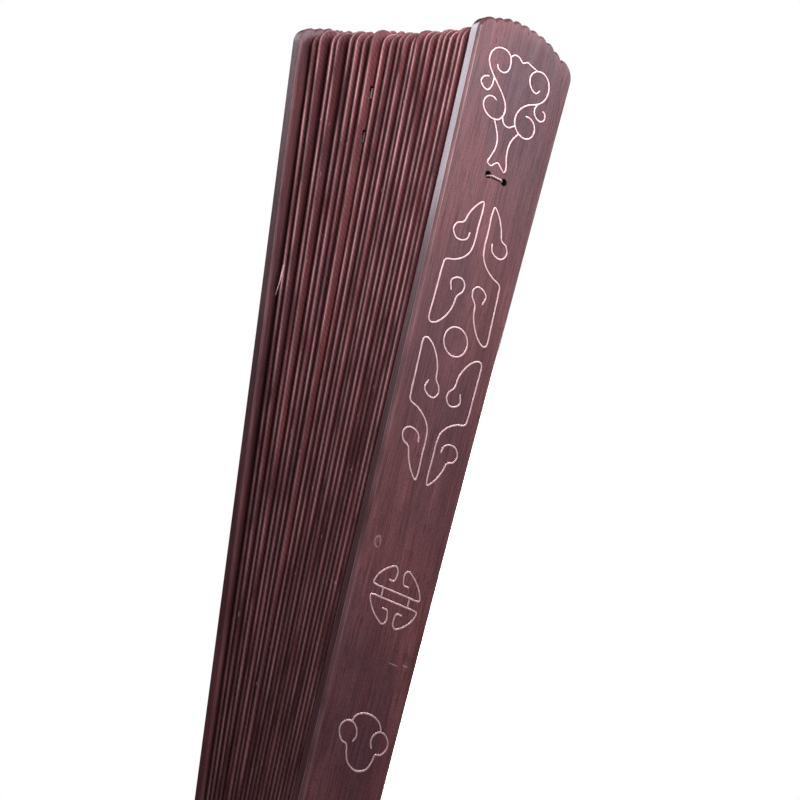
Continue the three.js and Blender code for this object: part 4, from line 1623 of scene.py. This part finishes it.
    def strokes(self, motif: Motif) -> tuple[list[Stroke], tuple[float, float]]:
        """Return a motif's strokes and its place, to the right and below the top, in millimetres."""
        if motif is Motif.CLOUD_SCROLL:
            return self.cloud_scroll(), self.places["cloud_scroll"]
        if motif is Motif.RING:
            return self.ring(), self.places["ring"]
        if motif is Motif.MEDALLION:
            return self.medallion(), self.places["medallion"]
        if motif is Motif.CLOUD_HEAD:
            return self.cloud_head(), self.places["cloud_head"]
        sx = -1 if "left" in motif.value else 1
        sz = -1 if "lower" in motif.value else 1
        return self.scroll_quarter(sx, sz), self.places["ring"]

    def sections(self) -> tuple[Array, Array]:
        """Return the wire's section and the painted groove shade strip's, as (distance to the side, height
        above the wood).
        """
        w, s = self.width / 2, self.width / 2 + self.shade_strip
        top = self.proud
        side = [(-w, -self.depth), (-w, 0.0), (-0.86 * w, 0.7 * top), (-0.5 * w, top), (-0.17 * w, 1.1 * top)]
        wire = side + [(-x, y) for x, y in reversed(side)]
        sill = 0.006 * MM
        shade_strip = [(-s, -self.depth), (-s, sill), (s, sill), (s, -self.depth)]
        return np.array(wire), np.array(shade_strip)

    def band(self, line: Array, closed: bool, section: Array, first: int) -> tuple[Array, Array]:
        """Carry a section along a line on the guard's face.

        Formula: point (i, j) is line point i moved to the side by section distance j, at the face's
        depth there less section height j. An open line's two ends are closed by caps.

        Args:
            line: Points across and up, n by 2.
            closed: Whether the line closes on itself.
            section: Distances and heights, m by 2.
            first: Number of the first vertex.

        Returns:
            Places, and quads.
        """
        if closed:
            tangent = np.roll(line, -1, axis=0) - np.roll(line, 1, axis=0)
        else:
            tangent = np.gradient(line, axis=0)
        tangent /= np.linalg.norm(tangent, axis=1)[:, None]
        normal = np.stack((-tangent[:, 1], tangent[:, 0]), 1)
        width = np.ones(len(line))
        if not closed:
            ramp = np.minimum(np.arange(len(line)), np.arange(len(line))[::-1]) / 2.0
            width = np.sqrt(np.clip(1 - (1 - np.clip(ramp, 0, 1)) ** 2, 0.12, 1))
        side = section[None, :, 0] * width[:, None]
        flat = line[:, None, :] + normal[:, None, :] * side[..., None]
        depth = self.guard.front_depth(flat[..., 0], flat[..., 1]) - section[None, :, 1]
        block = np.stack((flat[..., 0], depth, flat[..., 1]), -1)
        rows, across = block.shape[:2]
        numbers = first + np.arange(rows * across).reshape(rows, across)
        table = np.concatenate((numbers, numbers[:, :1]), axis=1)
        if closed:
            table = np.concatenate((table, table[:1]))
        quads = [grid_quads(table)[..., ::-1].reshape(-1, 4)]
        if not closed:
            quads += [cap_quads(numbers[0]), cap_quads(numbers[-1])[:, ::-1]]
        return block.reshape(-1, 3), np.concatenate(quads)

    def build(self) -> list[bpy.types.Object]:
        """Build every motif's wire and hang it on the front guard."""
        made = []
        wire, shade_strip = self.sections()
        for motif in Motif:
            strokes, (aside, drop) = self.strokes(motif)
            middle = np.array((aside * MM, self.guard.outline.top - drop * MM))
            points, groups, first = [], [], 0
            for stroke in strokes:
                line = stroke.line() + middle
                along = np.concatenate(([0], np.cumsum(np.hypot(*np.diff(line, axis=0).T))))
                for finish, section in ((0, wire), (1, shade_strip)):
                    places, quads = self.band(line, stroke.closed, section, first)
                    across = np.broadcast_to(section[None, :, 0], (len(line), len(section)))
                    length = np.broadcast_to(along[:, None], across.shape)
                    points.append((places, np.stack((across.ravel(), length.ravel()), 1)))
                    groups.append((quads, finish))
                    first += len(places)
            cloud = np.concatenate([p for p, _ in points])
            uv = np.concatenate([u for _, u in points])
            patches = [Patch(quads, uv, finish) for quads, finish in groups]
            flat = np.zeros(len(cloud))
            piece = make_piece(
                f"{motif.value}_wire",
                cloud,
                patches,
                (self.finishes.silver, self.finishes.groove_shade),
                {"edge": flat, "tone": flat + 0.5},
                sharp=50.0,
            )
            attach(piece, "front_guard")
            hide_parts(motif.value)
            made.append(piece)
        return made


# ---------------------------------------------------------------- guards, thread and rivet


@dataclass
class Guards:
    """The two thick guards, the thread stitched through each, and the front one's inlay.

    Attributes:
        stack: Where they lie.
        finishes: What they wear.
        thread: Radius of one ply of the thread.
        twist: Turns of the two plies to the metre.
    """

    stack: Stack
    finishes: Finishes
    thread: float = 0.12 * MM
    twist: float = 800.0

    def build(self) -> list[bpy.types.Object]:
        """Build both guards, their stitches and the inlay."""
        made = []
        for body, front in (("rear_guard", False), ("front_guard", True)):
            blade = self.stack.guard_blade(f"{body}_wood", front)
            rim = self.finishes.guard_side if front else self.finishes.guard
            wood = blade.build(self.finishes.guard, rim, self.finishes.bore)
            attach(wood, body)
            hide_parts(body)
            stitch = self.stitch(blade, front)
            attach(stitch, body)
            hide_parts("thread_front" if front else "thread_rear")
            made += [wood, stitch]
            if front:
                made += WireInlay(blade, self.finishes).build()
        return made

    def stitch(self, blade: Blade, front: bool) -> bpy.types.Object:
        """Build a guard's stitch of two-ply thread.

        Formula: the middle line is a staple with rounded shoulders. Each ply's centre circles it at
        0.9 of a ply's radius, half a turn from the other, and a circle is carried along each ply.

        Args:
            blade: The guard.
            front: Whether it is the front guard.

        Returns:
            The thread's object.
        """
        half = self.stack.stitch_span / 2 - 0.42 * MM
        top = blade.outline.rivet_to_top - self.stack.stitch_drop
        outer = blade.back - blade.thickness if front else blade.back
        inner = blade.back if front else blade.back - blade.thickness
        out = -1 if front else 1
        over = outer + out * (0.42 * MM if front else -0.05 * MM)
        knots = np.array(
            [
                (-half, inner + out * 0.3 * MM),
                (-half, (inner + outer) / 2),
                (-half * 0.97, outer - out * 0.25 * MM),
                (-half * 0.72, over - out * 0.04 * MM),
                (0.0, over + out * 0.06 * MM),
            ]
        )
        path = Stroke((both_halves(knots / MM))).line(0.1)
        count = len(path)
        tangent = np.gradient(path, axis=0)
        step = np.linalg.norm(tangent, axis=1)
        tangent /= step[:, None]
        normal = np.stack((-tangent[:, 1], tangent[:, 0]), 1)
        along = np.cumsum(step)
        ring = np.linspace(0, 2 * np.pi, 10, endpoint=False)
        points, patches, first = [], [], 0
        for ply in (0.0, math.pi):
            turn = 2 * math.pi * self.twist * along + ply
            radial = 0.9 * self.thread * np.cos(turn)[:, None] + self.thread * np.cos(ring)[None, :]
            upward = 0.9 * self.thread * np.sin(turn)[:, None] + self.thread * np.sin(ring)[None, :]
            x = path[:, :1] + normal[:, :1] * radial
            y = path[:, 1:] + normal[:, 1:] * radial
            block = np.stack((x, y, top + upward), -1)
            numbers = first + np.arange(count * len(ring)).reshape(count, -1)
            table = np.concatenate((numbers, numbers[:, :1]), axis=1)
            caps = [numbers[0], numbers[-1]]
            points.append(block.reshape(-1, 3))
            patches.append((grid_quads(table).reshape(-1, 4), caps))
            first += count * len(ring)
        cloud = np.concatenate(points)
        cloud[:, 1] -= blade.lean(cloud[:, 2])
        length = np.tile(np.repeat(along, len(ring)), 2)
        uv = np.stack((np.tile(np.tile(ring * self.thread, count), 2) + length * 0.6, length), 1)
        groups = []
        for skin, (start, end) in patches:
            groups.append(Patch(skin, uv))
            groups += [Patch(cap_quads(start)[:, ::-1], uv), Patch(cap_quads(end), uv)]
        turned = turned_about_rivet(cloud, blade.angle)
        name = "front_stitch_silk" if front else "rear_stitch_silk"
        return make_piece(name, turned, groups, (self.finishes.thread,), sharp=80.0)


@dataclass
class Rivet:
    """The brass rivet and the washer under its peened end.

    Attributes:
        stack: What it holds.
        finishes: What it wears.
        shank: Its radius.
        head: Radius of the head and the washer.
        head_thickness: Thickness of the flat head.
        washer_thickness: Thickness of the washer.
        peen: Radius of the peened button.
        peen_height: Its height.
    """

    stack: Stack
    finishes: Finishes
    shank: float = 1.5 * MM
    head: float = 3.4 * MM
    head_thickness: float = 0.9 * MM
    washer_thickness: float = 0.8 * MM
    peen: float = 2.5 * MM
    peen_height: float = 0.7 * MM

    def turned(self, name: str, profile: Sequence[tuple[float, float]], ring: bool) -> bpy.types.Object:
        """Turn a profile about the rivet's axis.

        Formula: point (i, j) is (r_j cos a_i, y_j, r_j sin a_i). A profile that is not a ring ends
        on the axis, where a pinhole's edge is drawn to nothing.

        Args:
            name: The piece's name.
            profile: Radius and depth, from the front to the back.
            ring: Whether the profile closes on itself.

        Returns:
            The turned object.
        """
        radius, depth = np.array(profile).T
        sides = 72
        a = np.linspace(0, 2 * np.pi, sides, endpoint=False)
        x = np.cos(a)[:, None] * radius[None, :]
        z = np.sin(a)[:, None] * radius[None, :]
        y = depth[None, :] + 0 * x
        block = np.stack((x, y, z), -1)
        numbers = np.arange(sides * len(radius)).reshape(sides, -1)
        table = np.concatenate((numbers, numbers[:1]))
        if ring:
            table = np.concatenate((table, table[:, :1]), axis=1)
        length = np.concatenate(([0], np.cumsum(np.hypot(*np.diff(np.array(profile), axis=0).T))))
        uv = np.stack((np.repeat(a, len(radius)) * self.head / 2, np.tile(length, sides)), 1)
        piece = make_piece(name, block.reshape(-1, 3), [Patch(grid_quads(table).reshape(-1, 4), uv)],
                           (self.finishes.brass,), sharp=40.0)
        self.close_poles(piece)
        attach(piece, "first_leaf")
        return piece

    @staticmethod
    def close_poles(piece: bpy.types.Object) -> None:
        """Weld the points that meet on the axis, so that each pole is one vertex."""
        weld = piece.modifiers.new("poles", "WELD")
        weld.merge_threshold = 1e-6

    def build(self) -> list[bpy.types.Object]:
        """Build the rivet and its washer."""
        front = self.stack.front_guard_back - self.stack.guard
        base = front - 0.03 * MM
        turn = np.radians(np.linspace(90, 0, 9))
        dome = [
            (self.peen * math.sqrt(max(0.0, 1 - math.sin(t) ** 2)), base - self.peen_height * math.sin(t))
            for t in turn
        ]
        soft = 0.12 * MM
        profile = [
            *dome,
            (self.peen, base + 0.02 * MM),
            (self.shank, base + 0.02 * MM),
            (self.shank, -self.head_thickness),
            (self.head - soft, -self.head_thickness),
            (self.head, -self.head_thickness + soft),
            (self.head, -soft),
            (self.head - soft, 0.0),
            (0.0, 0.0),
        ]
        rivet = self.turned("rivet_brass", profile, False)
        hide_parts("rivet")
        bore = self.shank + 0.1 * MM
        back = front + self.washer_thickness
        section = [
            (bore, front),
            (self.head - soft, front),
            (self.head, front + soft),
            (self.head, back),
            (bore, back),
        ]
        washer = self.turned("rivet_washer_brass", section, True)
        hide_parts("rivet_washer")
        return [rivet, washer]


# ---------------------------------------------------------------- studio


@dataclass
class Studio:
    """Floor, light and camera.

    Attributes:
        floor_height: Height of the floor under the rivet.
        floor_size: The floor's side.
        room_tint: Colour of the room's light.
        room_strength: Its weakest and its strongest.
        room_facing: Where the room's light comes from most strongly.
        eye: The camera's place.
        bearing: Degrees that the camera looks to the right of +Y.
        lift: Degrees that it looks up.
        roll: Degrees that it is turned anticlockwise.
        lens: Focal length, in millimetres on a 36 mm sensor.
    """

    floor_height: float = -0.16
    floor_size: float = 6.0
    room_tint: Colour = (1.0, 0.90, 0.96)
    room_strength: tuple[float, float] = (0.007, 0.065)
    room_facing: tuple[float, float, float] = (-0.10, -0.50, 0.86)
    eye: tuple[float, float, float] = (-402.8 * MM, -586.4 * MM, -71.4 * MM)
    bearing: float = 35.22
    lift: float = 15.78
    roll: float = 14.06
    lens: float = 156.74

    def build(self) -> None:
        """Build the whole studio."""
        self.floor()
        self.world()
        self.lights()
        self.camera()

    def floor(self) -> None:
        """Lay a plain pale floor."""
        half = self.floor_size / 2
        z = self.floor_height
        points = np.array(((-half, -half, z), (half, -half, z), (half, half, z), (-half, half, z)))
        nt = NodeTree("pale_floor")
        nt.constant(Base_Color=(0.82, 0.82, 0.82, 1.0), Roughness=0.8)
        floor = make_piece("floor", points, [Patch(np.array([[0, 1, 2, 3]]), points[:, :2])], (nt.material,))

    def world(self) -> None:
        """Fill the room with soft light that is stronger from above, against a white backdrop."""
        world = bpy.data.worlds.new("studio")
        world.use_nodes = True
        tree = world.node_tree
        tree.nodes.clear()
        backdrop = tree.nodes.new("ShaderNodeBackground")
        room = tree.nodes.new("ShaderNodeBackground")
        direction = tree.nodes.new("ShaderNodeTexCoord")
        facing = tree.nodes.new("ShaderNodeVectorMath")
        facing.operation = "DOT_PRODUCT"
        facing.inputs[1].default_value = self.room_facing
        height = tree.nodes.new("ShaderNodeMapRange")
        ray = tree.nodes.new("ShaderNodeLightPath")
        mix = tree.nodes.new("ShaderNodeMixShader")
        output = tree.nodes.new("ShaderNodeOutputWorld")
        backdrop.inputs["Color"].default_value = (1.0, 1.0, 1.0, 1.0)
        room.inputs["Color"].default_value = (*self.room_tint, 1.0)
        for socket, value in zip(list(height.inputs)[1:5], (-0.15, 1.0, *self.room_strength)):
            socket.default_value = value
        tree.links.new(direction.outputs["Generated"], facing.inputs[0])
        tree.links.new(facing.outputs["Value"], height.inputs["Value"])
        tree.links.new(height.outputs["Result"], room.inputs["Strength"])
        tree.links.new(ray.outputs["Is Camera Ray"], mix.inputs[0])
        tree.links.new(room.outputs["Background"], mix.inputs[1])
        tree.links.new(backdrop.outputs["Background"], mix.inputs[2])
        tree.links.new(mix.outputs["Shader"], output.inputs["Surface"])
        bpy.context.scene.world = world
        bpy.context.scene.view_settings.view_transform = "Standard"

    def lights(self) -> None:
        """Hang the soft boxes: a close key, a sheen from the right, and one behind each side."""
        warm, cool = (1.0, 0.95, 1.0), (0.90, 0.90, 1.0)
        self.soft_box("key_box", (-0.064, -0.155, 0.250), (-0.018, -0.03, 0.180), 0.12, 0.39, warm)
        self.soft_box("front_right_box", (0.33, -0.50, 0.53), (0.0, -0.03, 0.20), 0.22, 2.0, cool)
        self.soft_box("rear_left_box", (-0.235, 0.26, 0.400), (-0.01, -0.03, 0.2), 0.24, 1.1, cool)
        self.soft_box("rear_right_box", (0.32, 0.20, 0.15), (0.01, -0.03, 0.08), 0.20, 0.8, warm)

    def soft_box(
        self,
        name: str,
        place: Sequence[float],
        target: Sequence[float],
        side: float,
        power: float,
        tint: Colour,
    ) -> None:
        """Hang a square soft box.

        Args:
            name: The light's name.
            place: Where it hangs.
            target: What it points at.
            side: Its side.
            power: Its power in watts.
            tint: Its colour.
        """
        data = bpy.data.lights.new(name, "AREA")
        data.size = side
        data.energy = power
        data.color = tint
        lamp = bpy.data.objects.new(name, data)
        lamp.visible_camera = False
        lamp.location = place
        lamp.rotation_mode = "QUATERNION"
        lamp.rotation_quaternion = (Vector(target) - Vector(place)).to_track_quat("-Z", "Y")
        bpy.context.scene.collection.objects.link(lamp)

    def camera(self) -> None:
        """Stand the camera below and to the left of the fan, looking up at it."""
        data = bpy.data.cameras.new("camera")
        data.sensor_width = 36.0
        data.lens = self.lens
        data.clip_start = 0.01
        data.clip_end = 20.0
        camera = bpy.data.objects.new("camera", data)
        turn = (
            Matrix.Rotation(math.radians(-self.bearing), 4, "Z")
            @ Matrix.Rotation(math.radians(90 + self.lift), 4, "X")
            @ Matrix.Rotation(math.radians(self.roll), 4, "Z")
        )
        camera.matrix_world = Matrix.Translation(self.eye) @ turn
        bpy.context.scene.collection.objects.link(camera)
        bpy.context.scene.camera = camera


def main() -> None:
    """Build the studio and the fan."""
    logging.basicConfig(level=logging.INFO, format="%(name)s: %(message)s")
    Studio().build()
    finishes = Finishes()
    stack = Stack()
    for part in (Leaves(stack, finishes), Guards(stack, finishes), Rivet(stack, finishes)):
        for piece in part.build():
            log.info("%s: %d faces", piece.name, len(piece.data.polygons))


if __name__ == "__main__":
    main()
